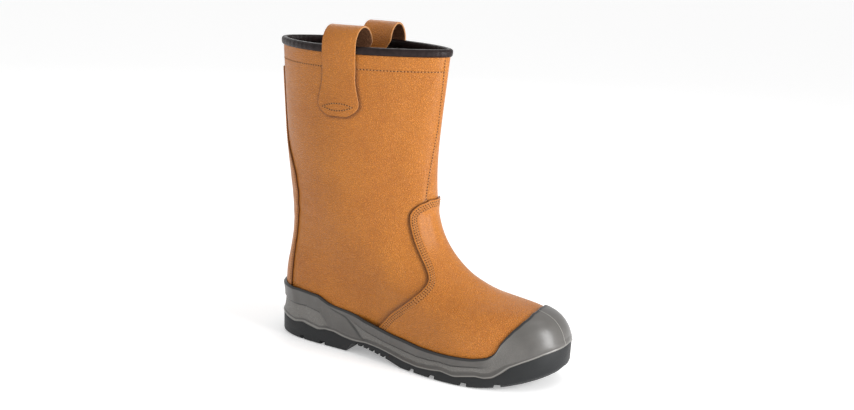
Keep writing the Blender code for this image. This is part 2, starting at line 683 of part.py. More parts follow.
def tread_cutters():
    side_cuts = []
    for _, place, reach, width, slant in SIDE_GROOVES:
        x = SOLE_BACK + SOLE_LENGTH * place
        lift = HEEL_SEAT * float(np.maximum(smooth_line(TREAD_LINE, np.array([place])), 0.0)[0])
        if place < TREAD_LINE[1][0]:
            lift = 0.0
        length = BALL_HALF_WIDTH * (reach + 0.45)
        middle = float(sway(np.array([(x - FORM_BACK) / FORM_LENGTH]))[0])
        for side in (-1.0, 1.0):
            centre = (x, middle + side * (BALL_HALF_WIDTH * 1.30 - 0.5 * length))
            top = lift + GROOVE_DEPTH
            size = (GROOVE_WIDTH * width, length)
            side_cuts.append(box_piece(centre, size, -side * slant, -0.006, top))
    centre_cuts = []
    for _, place, reach in CENTRE_GROOVES:
        x = SOLE_BACK + SOLE_LENGTH * place
        middle = float(sway(np.array([(x - FORM_BACK) / FORM_LENGTH]))[0])
        size = (CENTRE_GROOVE_WIDTH, 2.0 * BALL_HALF_WIDTH * reach)
        centre_cuts.append(box_piece((x, middle), size, 0.0, -0.006, CENTRE_GROOVE_DEPTH))
    profile = [(SOLE_BACK + SOLE_LENGTH * a, HEEL_SEAT * b) for a, b in ARCH_CUT]
    count = len(profile)
    arch_points = [(x, y, z) for y in (-0.07, 0.07) for x, z in profile]
    arch_faces = [tuple(range(count)), tuple(range(2 * count - 1, count - 1, -1))]
    for i in range(count):
        k = (i + 1) % count
        arch_faces.append((i, count + i, count + k, k))
    ribs = []
    for place in ARCH_RIBS:
        x = SOLE_BACK + SOLE_LENGTH * place
        top = HEEL_SEAT * float(np.interp(place, [p[0] for p in ARCH_CUT[1:-1]], [p[1] for p in ARCH_CUT[1:-1]]))
        ribs.append(box_piece((x, 0.0), (0.0026, 0.14), 0.0, -0.006, top + RIB_DEPTH))
    return (
        ("arch_cutter", [(arch_points, arch_faces)]),
        ("side_groove_cutter", side_cuts),
        ("centre_groove_cutter", centre_cuts),
        ("rib_cutter", ribs),
    )


def build_insole(material, collection):
    turns = half_ring_turns([(0.0, 0), (0.3, 6), (0.7, 8), (1.0, 9)])
    rings = []
    for inset, rise in ((4.0, 0.0), (3.0, 0.3), (3.0, 0.75), (6.0, 1.0)):
        ring = leather_points(np.zeros_like(turns), turns, -UPPER_WALL - inset * GAP)
        ring[:, 2] = seat_height((ring[:, 0] - FORM_BACK) / FORM_LENGTH) + rise * INSOLE_WALL
        rings.append(ring)
    return ring_solid("insole", rings, 1, material, collection)


def make_material(name):
    red, green, blue, rough = COLOURS[name]
    material = bpy.data.materials.new(name)
    material.use_nodes = True
    shader = material.node_tree.nodes["Principled BSDF"]
    shader.inputs["Base Color"].default_value = (red, green, blue, 1.0)
    shader.inputs["Roughness"].default_value = rough
    shader.inputs["Metallic"].default_value = 0.0
    material.diffuse_color = (red, green, blue, 1.0)
    return material


def build():
    clear_scene()
    parts = bpy.data.collections.new("rigger_boot")
    cutters = bpy.data.collections.new("rigger_boot_cutters")
    bpy.context.scene.collection.children.link(parts)
    bpy.context.scene.collection.children.link(cutters)
    slots = {name: make_material(name) for name in COLOURS}
    build_upper(slots["leather"], parts)
    build_vamp(slots["leather"], parts)
    build_backstay(slots["leather"], parts)
    build_binding(slots["dark_binding"], parts)
    build_loop("pull_loop_lateral", -1.0, slots["strap_leather"], parts)
    build_loop("pull_loop_medial", 1.0, slots["strap_leather"], parts)
    build_midsole(slots["grey_polyurethane"], parts)
    build_outsole(slots["black_rubber"], parts, cutters)
    build_insole(slots["dark_textile"], parts)


build()
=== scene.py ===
"""Rigger boot: stage, leather, seams and sole around the fixed CAD frame.

Frame: metres, +X to the toe, +Y to the inner side of the foot, +Z up. A point of the
leather has a level, 0 at its bottom edge and 1 at the collar, and a turn, 0 at the back
of the heel, 1 at the front and 2 at the back again, by way of the outer side first.
"""
import math

import bmesh
import bpy
import numpy as np
from bpy.props import FloatProperty, FloatVectorProperty, PointerProperty
from mathutils import Matrix, Vector
from mathutils.kdtree import KDTree


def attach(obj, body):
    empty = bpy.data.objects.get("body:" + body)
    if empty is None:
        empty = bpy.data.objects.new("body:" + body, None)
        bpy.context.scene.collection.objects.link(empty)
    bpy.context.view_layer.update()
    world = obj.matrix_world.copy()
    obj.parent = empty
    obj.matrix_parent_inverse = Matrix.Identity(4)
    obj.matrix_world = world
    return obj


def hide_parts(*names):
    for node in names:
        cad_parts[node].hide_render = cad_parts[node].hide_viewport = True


bl_info = {
    "name": "Rigger boot",
    "version": (1, 0, 0),
    "blender": (4, 5, 0),
    "location": "View3D > Sidebar > Boot",
    "description": "Builds a pull-on work boot around its fixed frame",
    "category": "Add Mesh",
}

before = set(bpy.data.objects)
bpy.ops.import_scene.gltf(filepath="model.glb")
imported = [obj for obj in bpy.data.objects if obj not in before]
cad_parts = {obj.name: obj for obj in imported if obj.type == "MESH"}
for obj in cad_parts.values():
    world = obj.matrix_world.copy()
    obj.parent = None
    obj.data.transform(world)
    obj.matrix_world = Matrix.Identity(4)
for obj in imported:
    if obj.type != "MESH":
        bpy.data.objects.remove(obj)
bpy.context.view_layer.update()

# sizes shared with the solids
FORM_LENGTH = 0.292
COLLAR_HEIGHT = 0.2952
BALL_HALF_WIDTH = 0.050
HEEL_SEAT = 0.032
SOLE_LENGTH = 0.304
FORM_BACK = -0.040
SOLE_BACK = -0.044
GAP = 0.0003
PATCH_GAP = 0.0005
LEVEL_SPAN = 0.32
BAND_STEP = 0.0012
LIP_BULGE = 0.0006
SHELL_INSET = 0.0040
SHELL_WALL = 0.0016
TOE_EASE = 0.0016
TOE_WALL = 0.0040
SIDE_BULGE = 0.0008
RIM_WALL = 0.0020
INSOLE_WALL = 0.0040
GROOVE_DEPTH = 0.0042
GROOVE_WIDTH = 0.0062
CENTRE_GROOVE_DEPTH = 0.0034
CENTRE_GROOVE_WIDTH = 0.0052
RIB_DEPTH = 0.0022
STRAP_CENTRE = 0.0355
STRAP_TIP_WIDTH = 0.042
LOOP_RISE = 0.0185
LOOP_REACH = 0.030

# values of the looks
VAMP_ROUND = 0.012
BACKSTAY_ROUND = 0.020
COLLAR_ROW_LEVEL = 0.9385
CUTTER_FLOOR = -0.006
RIB_WIDTH = 0.0026
HOLE_SHARE = 0.78
FLASH_RADIUS = 0.00028
SURFACE_STEP = 0.002

STATIONS = (0.0, 0.25, 0.45, 0.62, 0.80, 1.0)
FORM_ROWS = (
    # name, back, front, back_rise, front_rise, heel, quarter, waist, ball, shoulder, toe, sway
    ("feather", 0.017, 0.986, 0.0, 0.0, 1.24, 0.86, 0.62, 0.97, 1.20, 1.46, 1.0),
    ("wall", 0.003, 1.007, 0.046, 0.053, 1.32, 0.94, 0.68, 1.04, 1.27, 1.52, 1.0),
    ("side", 0.0, 1.002, 0.091, 0.093, 1.34, 0.95, 0.69, 1.05, 1.27, 1.48, 1.0),
    ("toe_shoulder", 0.002, 0.976, 0.133, 0.138, 1.33, 0.94, 0.70, 1.01, 1.20, 1.36, 1.0),
    ("cap", 0.007, 0.918, 0.167, 0.174, 1.32, 0.93, 0.71, 0.94, 1.08, 1.20, 1.0),
    ("crown", 0.013, 0.829, 0.198, 0.197, 1.28, 0.91, 0.73, 0.84, 0.93, 0.99, 0.9),
    ("vamp", 0.018, 0.752, 0.232, 0.226, 1.22, 0.88, 0.75, 0.77, 0.80, 0.84, 0.7),
    ("upper_vamp", 0.022, 0.683, 0.270, 0.260, 1.12, 0.86, 0.78, 0.76, 0.76, 0.78, 0.5),
    ("instep", 0.023, 0.620, 0.316, 0.311, 1.02, 0.84, 0.80, 0.78, 0.76, 0.77, 0.3),
    ("throat", 0.020, 0.573, 0.373, 0.380, 0.94, 0.83, 0.83, 0.80, 0.76, 0.76, 0.1),
    ("ankle", 0.009, 0.546, 0.456, 0.480, 0.86, 0.84, 0.86, 0.82, 0.76, 0.74, 0.0),
    ("shaft", -0.011, 0.538, 0.581, 0.611, 0.80, 0.85, 0.90, 0.84, 0.75, 0.70, 0.0),
    ("upper_shaft", -0.036, 0.549, 0.790, 0.811, 0.68, 0.86, 0.94, 0.87, 0.73, 0.62, 0.0),
    ("collar", -0.053, 0.566, 1.0, 1.011, 0.64, 0.85, 0.955, 0.86, 0.71, 0.58, 0.0),
)
SEAT_LINE = ((0.0, 1.0), (0.20, 0.97), (0.45, 0.74), (0.68, 0.56), (0.85, 0.58), (1.0, 0.80))
SWAY_LINE = ((0.0, 0.0), (0.15, 0.0), (0.40, -0.06), (0.68, -0.03), (0.88, 0.05), (1.0, 0.14))
SOLE_WIDTHS = (1.38, 1.00, 0.78, 1.13, 1.36, 1.58)
TREAD_LINE = ((0.0, 0.0), (0.74, 0.0), (0.80, 0.035), (0.87, 0.13), (0.94, 0.29), (1.0, 0.47))
ROLL_LINE = ((0.0, 0.05), (0.78, 0.05), (0.86, 0.12), (0.94, 0.19), (1.0, 0.22))
CORE_LINE = ((0.0, 0.44), (0.30, 0.41), (0.45, 0.34), (0.60, 0.24), (0.86, 0.28), (1.0, 0.56))
LIP_LINE = (
    (0.0, 0.66), (0.12, 0.60), (0.20, 0.51), (0.236, 0.585), (0.26, 0.53), (0.29, 0.47),
    (0.315, 0.545), (0.34, 0.55), (0.365, 0.47), (0.39, 0.43), (0.42, 0.45), (0.455, 0.42),
    (0.49, 0.345), (0.52, 0.27), (0.555, 0.235), (0.585, 0.27), (0.61, 0.325), (0.64, 0.255),
    (0.665, 0.32), (0.69, 0.375), (0.71, 0.35), (0.73, 0.40), (0.75, 0.56), (0.77, 0.75),
    (0.80, 0.89), (0.82, 0.96), (0.866, 1.12), (0.91, 1.20), (1.0, 1.31),
)
RIM_LEVELS = (
    (0.0, 0.072), (0.12, 0.072), (0.234, 0.070), (0.281, 0.067), (0.312, 0.051), (0.33, 0.046),
    (0.356, 0.045), (0.425, 0.037), (0.484, 0.027), (0.553, 0.022), (0.613, 0.026), (0.687, 0.032),
    (0.722, 0.040), (0.740, 0.055), (0.756, 0.083), (0.775, 0.100), (0.803, 0.118), (0.85, 0.137),
    (0.922, 0.156), (1.0, 0.163),
)
HEEL_LEDGE = ((0.0, 0.56), (0.22, 0.55), (0.285, 0.52), (0.308, 0.28), (0.325, 0.05), (1.0, 0.05))
CREASE = ((0.0, 0.88), (0.318, 0.88), (0.36, 0.76), (0.40, 0.30), (0.415, 0.11), (1.0, 0.11))
SIDE_LEDGE = (
    (0.0, 0.94), (0.33, 0.93), (0.366, 0.80), (0.385, 0.66), (0.42, 0.54), (0.46, 0.47),
    (0.52, 0.50), (0.62, 0.53), (0.70, 0.50), (0.76, 0.42), (1.0, 0.40),
)
ZONES = (
    # turn, heel_panel, heel_band, side_panel, side_band
    (0.0, 0.0, 1.0, 1.0, 1.0),
    (0.305, 0.0, 1.0, 1.0, 1.0),
    (0.325, 1.0, 1.0, 0.35, 0.35),
    (0.365, 1.0, 1.0, 0.30, 0.50),
    (0.385, 1.0, 1.0, 0.0, 0.85),
    (0.405, 0.9, 0.9, 0.0, 0.85),
    (0.425, 0.0, 0.0, 0.0, 0.85),
    (0.690, 0.0, 0.0, 0.0, 0.85),
    (0.745, 0.0, 0.0, 0.0, 0.0),
    (1.0, 0.0, 0.0, 0.0, 0.0),
)
VAMP_EDGE = (
    (0.0, 0.440), (0.031, 0.447), (0.084, 0.478), (0.105, 0.495), (0.150, 0.538), (0.213, 0.604),
    (0.262, 0.664), (0.288, 0.697), (0.309, 0.722), (0.332, 0.743), (0.363, 0.762), (0.394, 0.771),
    (0.423, 0.775), (0.451, 0.778), (0.479, 0.779), (0.499, 0.782), (0.515, 0.793), (0.528, 0.818),
    (0.540, 0.855), (0.549, 0.908),
)
BACKSTAY_EDGE = (
    (0.004, 0.150), (0.088, 0.156), (0.200, 0.158), (0.307, 0.165), (0.390, 0.185), (0.448, 0.206),
    (0.530, 0.228), (0.580, 0.225), (0.630, 0.190), (0.680, 0.135), (0.730, 0.095), (0.800, 0.078),
    (0.910, 0.070),
)
SIDE_GROOVES = (
    ("heel_corner", 0.112, 0.55, 0.70, -38.0),
    ("heel_mid", 0.208, 0.62, 1.00, -8.0),
    ("ball_rear", 0.556, 0.66, 0.90, 10.0),
    ("ball", 0.627, 0.68, 1.00, 12.0),
    ("ball_front", 0.731, 0.70, 1.05, 14.0),
    ("toe_rear", 0.836, 0.62, 1.05, 18.0),
)
CENTRE_GROOVES = (
    ("heel_cross", 0.176, 0.40),
    ("ball_cross_rear", 0.592, 0.42),
    ("ball_cross_mid", 0.680, 0.46),
    ("ball_cross_front", 0.784, 0.44),
)
ARCH_CUT = (
    (0.300, -0.10), (0.300, 0.0), (0.327, 0.33), (0.38, 0.29), (0.46, 0.17), (0.535, 0.0),
    (0.535, -0.10),
)
ARCH_RIBS = (0.345, 0.367, 0.389, 0.411, 0.433, 0.455)

# soft creases of the worn-in leather: level, turn, reach in turn, width in metres,
# slant of the crease in level per turn, depth in metres (+ is a ridge)
FOLDS = (
    ("heel_back_low", 0.400, 0.20, 0.17, 0.0042, -0.05, -0.00045),
    ("heel_back_low_ridge", 0.418, 0.20, 0.17, 0.0046, -0.05, 0.00040),
    ("heel_back_mid", 0.452, 0.26, 0.19, 0.0046, -0.10, -0.00050),
    ("heel_back_mid_ridge", 0.472, 0.26, 0.20, 0.0050, -0.10, 0.00045),
    ("heel_back_high", 0.508, 0.24, 0.18, 0.0052, -0.12, -0.00040),
    ("heel_back_high_ridge", 0.530, 0.24, 0.18, 0.0056, -0.12, 0.00035),
    ("behind_vamp", 0.410, 0.72, 0.10, 0.0130, 0.90, -0.00120),
    ("behind_vamp_ridge", 0.330, 0.62, 0.12, 0.0130, 0.60, 0.00060),
    ("shaft_front", 0.720, 0.74, 0.12, 0.0300, 2.0, -0.00070),
    ("instep_left", 0.300, 0.90, 0.11, 0.0100, 0.10, -0.00060),
    ("instep_right", 0.300, 1.12, 0.11, 0.0100, -0.10, -0.00060),
    ("ball_flex", 0.175, 0.86, 0.13, 0.0060, 0.25, -0.00045),
    ("ball_flex_ridge", 0.200, 0.88, 0.13, 0.0070, 0.25, 0.00040),
    ("inner_ankle", 0.430, 1.60, 0.20, 0.0050, 0.15, -0.00050),
    ("inner_ankle_ridge", 0.455, 1.60, 0.20, 0.0056, 0.15, 0.00045),
    ("inner_waist", 0.330, 1.42, 0.15, 0.0110, -0.50, -0.00080),
)
# front seam of the shaft: level and turn of its stitch row
FRONT_SEAM = (
    (0.549, 0.895), (0.573, 0.904), (0.670, 0.941), (0.760, 0.970), (0.880, 0.962), (0.990, 0.944),
)
VAMP_TOP = VAMP_EDGE[-1][0]
BACKSTAY_TOP = BACKSTAY_EDGE[-1][0]
TREAD_FLAT = TREAD_LINE[1][0]
# distances of the stitch rows from the edge of their piece
VAMP_ROWS = (0.0026, 0.0046, 0.0066)
BACKSTAY_SEAM = (0.0022,)
# rings of one stitch: place along it, size and height in thread radii
THREAD_RINGS = (
    (-0.5, 0.30, -0.5), (-0.38, 0.8, 0.05), (0.0, 1.0, 0.30), (0.38, 0.8, 0.05), (0.5, 0.30, -0.5),
)
# rings of one needle hole: size in hole radii and height in metres
HOLE_RINGS = ((1.0, -0.00025), (0.95, 0.00007), (0.45, 0.00009))


def sizes():
    return bpy.context.scene.boot_sizes


def colours():
    return bpy.context.scene.boot_colours


def spline(knots, values, places, clamped=False):
    """Cubic spline through values; values may have one column for each place."""
    knots = np.asarray(knots, float)
    values = np.asarray(values, float)
    places = np.asarray(places, float)
    single = values.ndim == 1
    if single:
        values = values[:, None]
    steps = np.diff(knots)
    slopes = np.diff(values, axis=0) / steps[:, None]
    count = len(knots)
    matrix = np.zeros((count, count))
    right = np.zeros_like(values)
    matrix[0, 0] = matrix[-1, -1] = 1.0
    if clamped:
        matrix[0, 0], matrix[0, 1] = 2.0 * steps[0], steps[0]
        matrix[-1, -1], matrix[-1, -2] = 2.0 * steps[-1], steps[-1]
        right[0] = 6.0 * slopes[0]
        right[-1] = -6.0 * slopes[-1]
    for i in range(1, count - 1):
        matrix[i, i - 1:i + 2] = steps[i - 1], 2.0 * (steps[i - 1] + steps[i]), steps[i]
        right[i] = 6.0 * (slopes[i] - slopes[i - 1])
    bend = np.linalg.solve(matrix, right)
    cell = np.clip(np.searchsorted(knots, places) - 1, 0, count - 2)
    column = np.zeros(len(places), int) if single else np.arange(len(places))
    before = places - knots[cell]
    after = knots[cell + 1] - places
    step = steps[cell]
    cubic = (bend[cell, column] * after**3 + bend[cell + 1, column] * before**3) / (6.0 * step)
    start = (values[cell, column] / step - bend[cell, column] * step / 6.0) * after
    end = (values[cell + 1, column] / step - bend[cell + 1, column] * step / 6.0) * before
    return cubic + start + end


def smooth_line(table, places):
    flat = spline([p[0] for p in table], [p[1] for p in table], np.ravel(places))
    return flat.reshape(np.shape(places))


def straight_line(table, places):
    return np.interp(places, [p[0] for p in table], [p[1] for p in table])


def rounded_line(table, places, radius):
    """A straight-line table with its corners rounded over a radius of the first column."""
    total = np.zeros(np.shape(places))
    weights = 0.0
    for shift in np.linspace(-1.0, 1.0, 9):
        weight = 1.0 - 0.9 * shift * shift
        total = total + weight * straight_line(table, places + shift * radius)
        weights += weight
    return total / weights


def ease(value):
    value = np.clip(value, 0.0, 1.0)
    return value * value * (3.0 - 2.0 * value)


def bell(value):
    return np.exp(-0.5 * value * value)


def unit(vectors):
    return vectors / np.linalg.norm(vectors, axis=-1, keepdims=True)


def smoothed(values, passes):
    """Evens values out along their first axis, in place; both ends stay."""
    for _ in range(passes):
        values[1:-1] = 0.25 * values[:-2] + 0.5 * values[1:-1] + 0.25 * values[2:]
    return values


def half_turn(turn):
    return np.where(turn > 1.0, 2.0 - turn, turn)


def form_share(x):
    return (x - FORM_BACK) / FORM_LENGTH


def seat_height(share):
    return HEEL_SEAT * smooth_line(SEAT_LINE, np.clip(share, 0.0, 1.0))


def sway(share):
    return BALL_HALF_WIDTH * smooth_line(SWAY_LINE, np.clip(share, 0.0, 1.0))


def row_levels():
    """Place of each form row between the bottom edge and the collar."""
    corners = []
    for row in FORM_ROWS:
        ends = []
        for share, rise in ((row[1], row[3]), (row[2], row[4])):
            base = float(seat_height(np.array([share]))[0])
            ends += [share * FORM_LENGTH, base + rise * (COLLAR_HEIGHT - base)]
        corners.append(ends)
    step = np.diff(np.array(corners), axis=0)
    length = np.hypot(step[:, 0], step[:, 1]) + np.hypot(step[:, 2], step[:, 3])
    place = np.concatenate([[0.0], np.cumsum(length)])
    return place / place[-1]


ROW_LEVELS = row_levels()


def form_points(level, turn):
    """Points of the form; level and turn are arrays of the same shape."""
    level, turn = np.broadcast_arrays(np.asarray(level, float), np.asarray(turn, float))
    shape = level.shape
    level, turn = level.ravel(), turn.ravel()
    half = half_turn(turn)
    side = np.where(turn > 1.0, 1.0, -1.0)
    columns = [spline(ROW_LEVELS, [row[i] for row in FORM_ROWS], level) for i in range(1, 12)]
    back, front, back_rise, front_rise = columns[:4]
    along = (1.0 - np.cos(math.pi * half)) / 2.0
    share = back + (front - back) * along
    rise = back_rise + (front_rise - back_rise) * along
    base = seat_height(share)
    full = spline(STATIONS, np.array(columns[4:10]), half, clamped=True)
    across = side * BALL_HALF_WIDTH * full * np.sin(math.pi * half)
    points = np.stack([
        FORM_BACK + FORM_LENGTH * share,
        columns[10] * sway(share) + across,
        base + rise * (COLLAR_HEIGHT - base),
    ], axis=-1)
    return points.reshape(shape + (3,))


def form_normals(level, turn):
    level, turn = np.broadcast_arrays(np.asarray(level, float), np.asarray(turn, float))
    low = np.clip(level - SURFACE_STEP, 0.0, 1.0)
    high = np.clip(level + SURFACE_STEP, 0.0, 1.0)
    upward = form_points(high, turn) - form_points(low, turn)
    ahead = form_points(level, np.mod(turn + SURFACE_STEP, 2.0))
    around = ahead - form_points(level, np.mod(turn - SURFACE_STEP, 2.0))
    return unit(np.cross(around, upward))


def turn_rate(levels, turns):
    """Metres on the form for each unit of turn."""
    ahead = form_points(levels, turns + SURFACE_STEP) - form_points(levels, turns)
    return np.linalg.norm(ahead, axis=1) / SURFACE_STEP


def vamp_turn(level):
    return rounded_line(VAMP_EDGE, level, VAMP_ROUND)


def vamp_limit(levels):
    """The vamp's edge, rounded but for its top corner."""
    limit = vamp_turn(levels)
    corner = straight_line(VAMP_EDGE, VAMP_TOP) - limit
    return limit + corner * ease((levels - VAMP_TOP + VAMP_ROUND) / VAMP_ROUND)


def backstay_limit(levels):
    return rounded_line(BACKSTAY_EDGE, levels, BACKSTAY_ROUND)


def sunk(level, turn):
    """How far the shaft lies under the form where the vamp covers it."""
    half = half_turn(turn)
    inside = (half - vamp_turn(level)) * math.pi * BALL_HALF_WIDTH
    below = (VAMP_TOP - level) * LEVEL_SPAN
    return (sizes().vamp_wall + PATCH_GAP) * ease(np.minimum(inside, below) / 0.016)


def fold_height(level, turn):
    """Soft troughs and ridges of the leather, placed one by one."""
    height = np.zeros(np.shape(level))
    for _, place, centre, reach, width, slant, depth in FOLDS:
        off = np.asarray(turn) - centre
        off = off - 2.0 * np.round(off / 2.0)
        middle = place + slant * off + 0.006 * np.sin(23.0 * off + 40.0 * place)
        across = (level - middle) * LEVEL_SPAN / width
        height = height + depth * bell(across) * bell(2.2 * off / reach)
    return height * sizes().fold_depth


def leather_points(level, turn, offset, folds=True):
    """Points at an offset from the shaft's outside."""
    depth = np.asarray(offset - sunk(level, turn))
    if folds:
        depth = depth + fold_height(level, turn)
    return form_points(level, turn) + form_normals(level, turn) * depth[..., None]


def closed_turns(count):
    return np.linspace(0.0, 2.0, count, endpoint=False)


def grid_quads(rows, columns, around, along=False):
    """Corner numbers of a grid's quads, closed around its columns or along its rows."""
    i, j = np.meshgrid(
        np.arange(rows if along else rows - 1), np.arange(columns if around else columns - 1),
        indexing="ij",
    )
    k, m = (j + 1) % columns, (i + 1) % rows
    quads = np.stack([i * columns + j, i * columns + k, m * columns + k, m * columns + j], axis=-1)
    return quads.reshape(-1, 4)


def lid_quads(start, columns, flip):
    """Quads that close a ring of an even count across, side to side."""
    j = np.arange(columns // 2 - 1) if columns % 2 == 0 else np.arange(columns // 2)
    left, right = start + j, start + columns - 1 - j
    quads = np.stack([left, left + 1, right - 1, right], axis=-1)
    return quads[:, ::-1] if flip else quads


def tube_quads(rows, columns):
    """Quads of a tube of rings with a lid at each end."""
    last = (rows - 1) * columns
    lids = [lid_quads(0, columns, False), lid_quads(last, columns, True)]
    return np.concatenate([grid_quads(rows, columns, True)] + lids)


def make_piece(name, points, quads, materials, replaces=(), slots=None, fields=None):
    """A smooth mesh piece that rides on the frame."""
    mesh = bpy.data.meshes.new(name)
    points = np.asarray(points, np.float32)
    quads = np.asarray(quads, np.int32)
    mesh.vertices.add(len(points))
    mesh.vertices.foreach_set("co", points.ravel())
    mesh.loops.add(quads.size)
    mesh.loops.foreach_set("vertex_index", quads.ravel())
    mesh.polygons.add(len(quads))
    mesh.polygons.foreach_set("loop_start", np.arange(0, quads.size, 4, dtype=np.int32))
    if slots is not None:
        mesh.polygons.foreach_set("material_index", np.asarray(slots, np.int32))
    mesh.update(calc_edges=True)
    for key, values in (fields or {}).items():
        layer = mesh.attributes.new(key, "FLOAT", "POINT")
        layer.data.foreach_set("value", np.asarray(values, np.float32).ravel())
    for material in materials:
        mesh.materials.append(material)
    mesh.validate()
    mesh.shade_smooth()
    piece = bpy.data.objects.new(name, mesh)
    bpy.context.scene.collection.objects.link(piece)
    return placed(piece, replaces)


def placed(piece, replaces=()):
    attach(piece, "root")
    if replaces:
        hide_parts(*replaces)
    return piece


def face_outwards(piece):
    tidy = bmesh.new()
    tidy.from_mesh(piece.data)
    bmesh.ops.recalc_face_normals(tidy, faces=tidy.faces)
    tidy.to_mesh(piece.data)
    tidy.free()


# materials

def opaque(colour):
    return (*colour, 1.0)


class Wiring:
    """Short way to add and join the nodes of one tree."""

    def __init__(self, tree):
        self.tree = tree

    def node(self, kind, settings=None, **inputs):
        made = self.tree.nodes.new(kind)
        for key, value in (settings or {}).items():
            setattr(made, key, value)
        self.fill(made, **inputs)
        return made

    def fill(self, made, **inputs):
        for key, value in inputs.items():
            self.put(made, key.replace("_", " "), value)

    def put(self, made, key, value):
        target = made.inputs[int(key[1:]) if key[0] == "i" and key[1:].isdigit() else key]
        if isinstance(value, bpy.types.NodeSocket):
            self.tree.links.new(value, target)
        else:
            target.default_value = value

    def math(self, operation, first, second=0.0, clamp=False):
        settings = {"operation": operation, "use_clamp": clamp}
        return self.node("ShaderNodeMath", settings, i0=first, i1=second).outputs[0]

    def mix(self, factor, first, second, blend="MIX"):
        made = self.node("ShaderNodeMix", {"data_type": "RGBA", "blend_type": blend})
        self.put(made, "i0", factor)
        self.put(made, "i6", first)
        self.put(made, "i7", second)
        return made.outputs[2]

    def span(self, value, low, high, to_low=0.0, to_high=1.0):
        made = self.node(
            "ShaderNodeMapRange", {"clamp": True}, Value=value,
            From_Min=low, From_Max=high, To_Min=to_low, To_Max=to_high,
        )
        return made.outputs[0]

    def field(self, name):
        return self.node("ShaderNodeAttribute", {"attribute_name": name}).outputs["Fac"]

    def bump(self, height, distance, strength=1.0, normal=None):
        made = self.node("ShaderNodeBump", Height=height, Distance=distance, Strength=strength)
        if normal is not None:
            self.put(made, "Normal", normal)
        return made.outputs[0]


def effect(name, inputs, outputs, wire):
    """A node group, built once, that materials share."""
    if name in bpy.data.node_groups:
        return bpy.data.node_groups[name]
    tree = bpy.data.node_groups.new(name, "ShaderNodeTree")
    for label, value in inputs:
        made = tree.interface.new_socket(name=label, in_out="INPUT", socket_type="NodeSocketFloat")
        made.default_value = value
    for label in outputs:
        tree.interface.new_socket(name=label, in_out="OUTPUT", socket_type="NodeSocketFloat")
    wiring = Wiring(tree)
    entry = tree.nodes.new("NodeGroupInput")
    leave = tree.nodes.new("NodeGroupOutput")
    for label, value in wire(wiring, entry.outputs).items():
        tree.links.new(value, leave.inputs[label])
    return tree


def scaled_place(w, size, squeeze=(1.0, 1.0, 1.0)):
    """Object coordinates counted in steps of a size in metres."""
    place = w.node("ShaderNodeTexCoord").outputs["Object"]
    stretched = w.node("ShaderNodeVectorMath", {"operation": "MULTIPLY"}, i0=place, i1=squeeze).outputs[0]
    steps = w.math("DIVIDE", 1.0, size)
    scaled = w.node("ShaderNodeVectorMath", {"operation": "SCALE"}, i0=stretched)
    w.put(scaled, "Scale", steps)
    return scaled.outputs[0]


def pebble_grain():
    def wire(w, given):
        place = scaled_place(w, given["Size"])
        stir = w.node("ShaderNodeTexNoise", Vector=place, Scale=0.6, Detail=1.0)
        pushed = w.node("ShaderNodeVectorMath", {"operation": "MULTIPLY_ADD"}, i0=stir.outputs["Color"],
                        i1=(0.9, 0.9, 0.9), i2=place).outputs[0]
        cells = w.node("ShaderNodeTexVoronoi", {"feature": "DISTANCE_TO_EDGE"}, Vector=pushed, Scale=1.0)
        small = w.node("ShaderNodeTexVoronoi", {"feature": "DISTANCE_TO_EDGE"}, Vector=pushed, Scale=1.9)
        dome = w.span(cells.outputs["Distance"], 0.0, 0.30)
        fine = w.span(small.outputs["Distance"], 0.0, 0.28)
        height = w.math("ADD", w.math("MULTIPLY", dome, 0.7), w.math("MULTIPLY", fine, 0.3))
        valley = w.math("SUBTRACT", 1.0, w.span(height, 0.05, 0.55))
        return {"Height": height, "Valleys": valley}

    return effect("pebble_grain", [("Size", 0.001)], ["Height", "Valleys"], wire)


def uneven_tone():
    def wire(w, given):
        place = scaled_place(w, given["Size"])
        cloud = w.node("ShaderNodeTexNoise", Vector=place, Scale=1.0, Detail=3.0, Roughness=0.55)
        low = w.math("SUBTRACT", 0.5, given["Softness"])
        high = w.math("ADD", 0.5, given["Softness"])
        return {"Tone": w.span(cloud.outputs["Fac"], low, high)}

    return effect("uneven_tone", [("Size", 0.03), ("Softness", 0.2)], ["Tone"], wire)


def fibre_nap():
    def wire(w, given):
        place = scaled_place(w, given["Size"])
        coarse = w.node("ShaderNodeTexNoise", Vector=place, Scale=1.0, Detail=4.0, Roughness=0.75)
        tufts = w.node("ShaderNodeTexVoronoi", {"feature": "F1"}, Vector=place, Scale=1.7, Randomness=1.0)
        height = w.math("ADD", coarse.outputs["Fac"], w.math("MULTIPLY", tufts.outputs["Distance"], 0.5))
        return {"Height": height, "Shade": w.span(height, 0.45, 1.0)}

    return effect("fibre_nap", [("Size", 0.001)], ["Height", "Shade"], wire)


def fine_scuffs():
    def wire(w, given):
        place = scaled_place(w, given["Size"], (1.0, 1.6, 0.35))
        lines = w.node("ShaderNodeTexNoise", Vector=place, Scale=1.0, Detail=2.0, Distortion=1.4)
        ridge = w.math("ABSOLUTE", w.math("SUBTRACT", lines.outputs["Fac"], 0.5))
        thin = w.span(ridge, 0.0, 0.012, 1.0, 0.0)
        patchy = w.node("ShaderNodeTexNoise", Vector=place, Scale=0.23, Detail=1.0)
        return {"Scuffs": w.math("MULTIPLY", thin, w.span(patchy.outputs["Fac"], 0.52, 0.66))}

    return effect("fine_scuffs", [("Size", 0.01)], ["Scuffs"], wire)


def use_effect(w, tree, **inputs):
    made = w.node("ShaderNodeGroup", {"node_tree": tree})
    for key, value in inputs.items():
        made.inputs[key].default_value = value
    return made.outputs


def new_material(name, build):
    if name in bpy.data.materials:
        return bpy.data.materials[name]
    material = bpy.data.materials.new(name)
    material.use_nodes = True
    w = Wiring(material.node_tree)
    build(w, material.node_tree.nodes["Principled BSDF"])
    return material


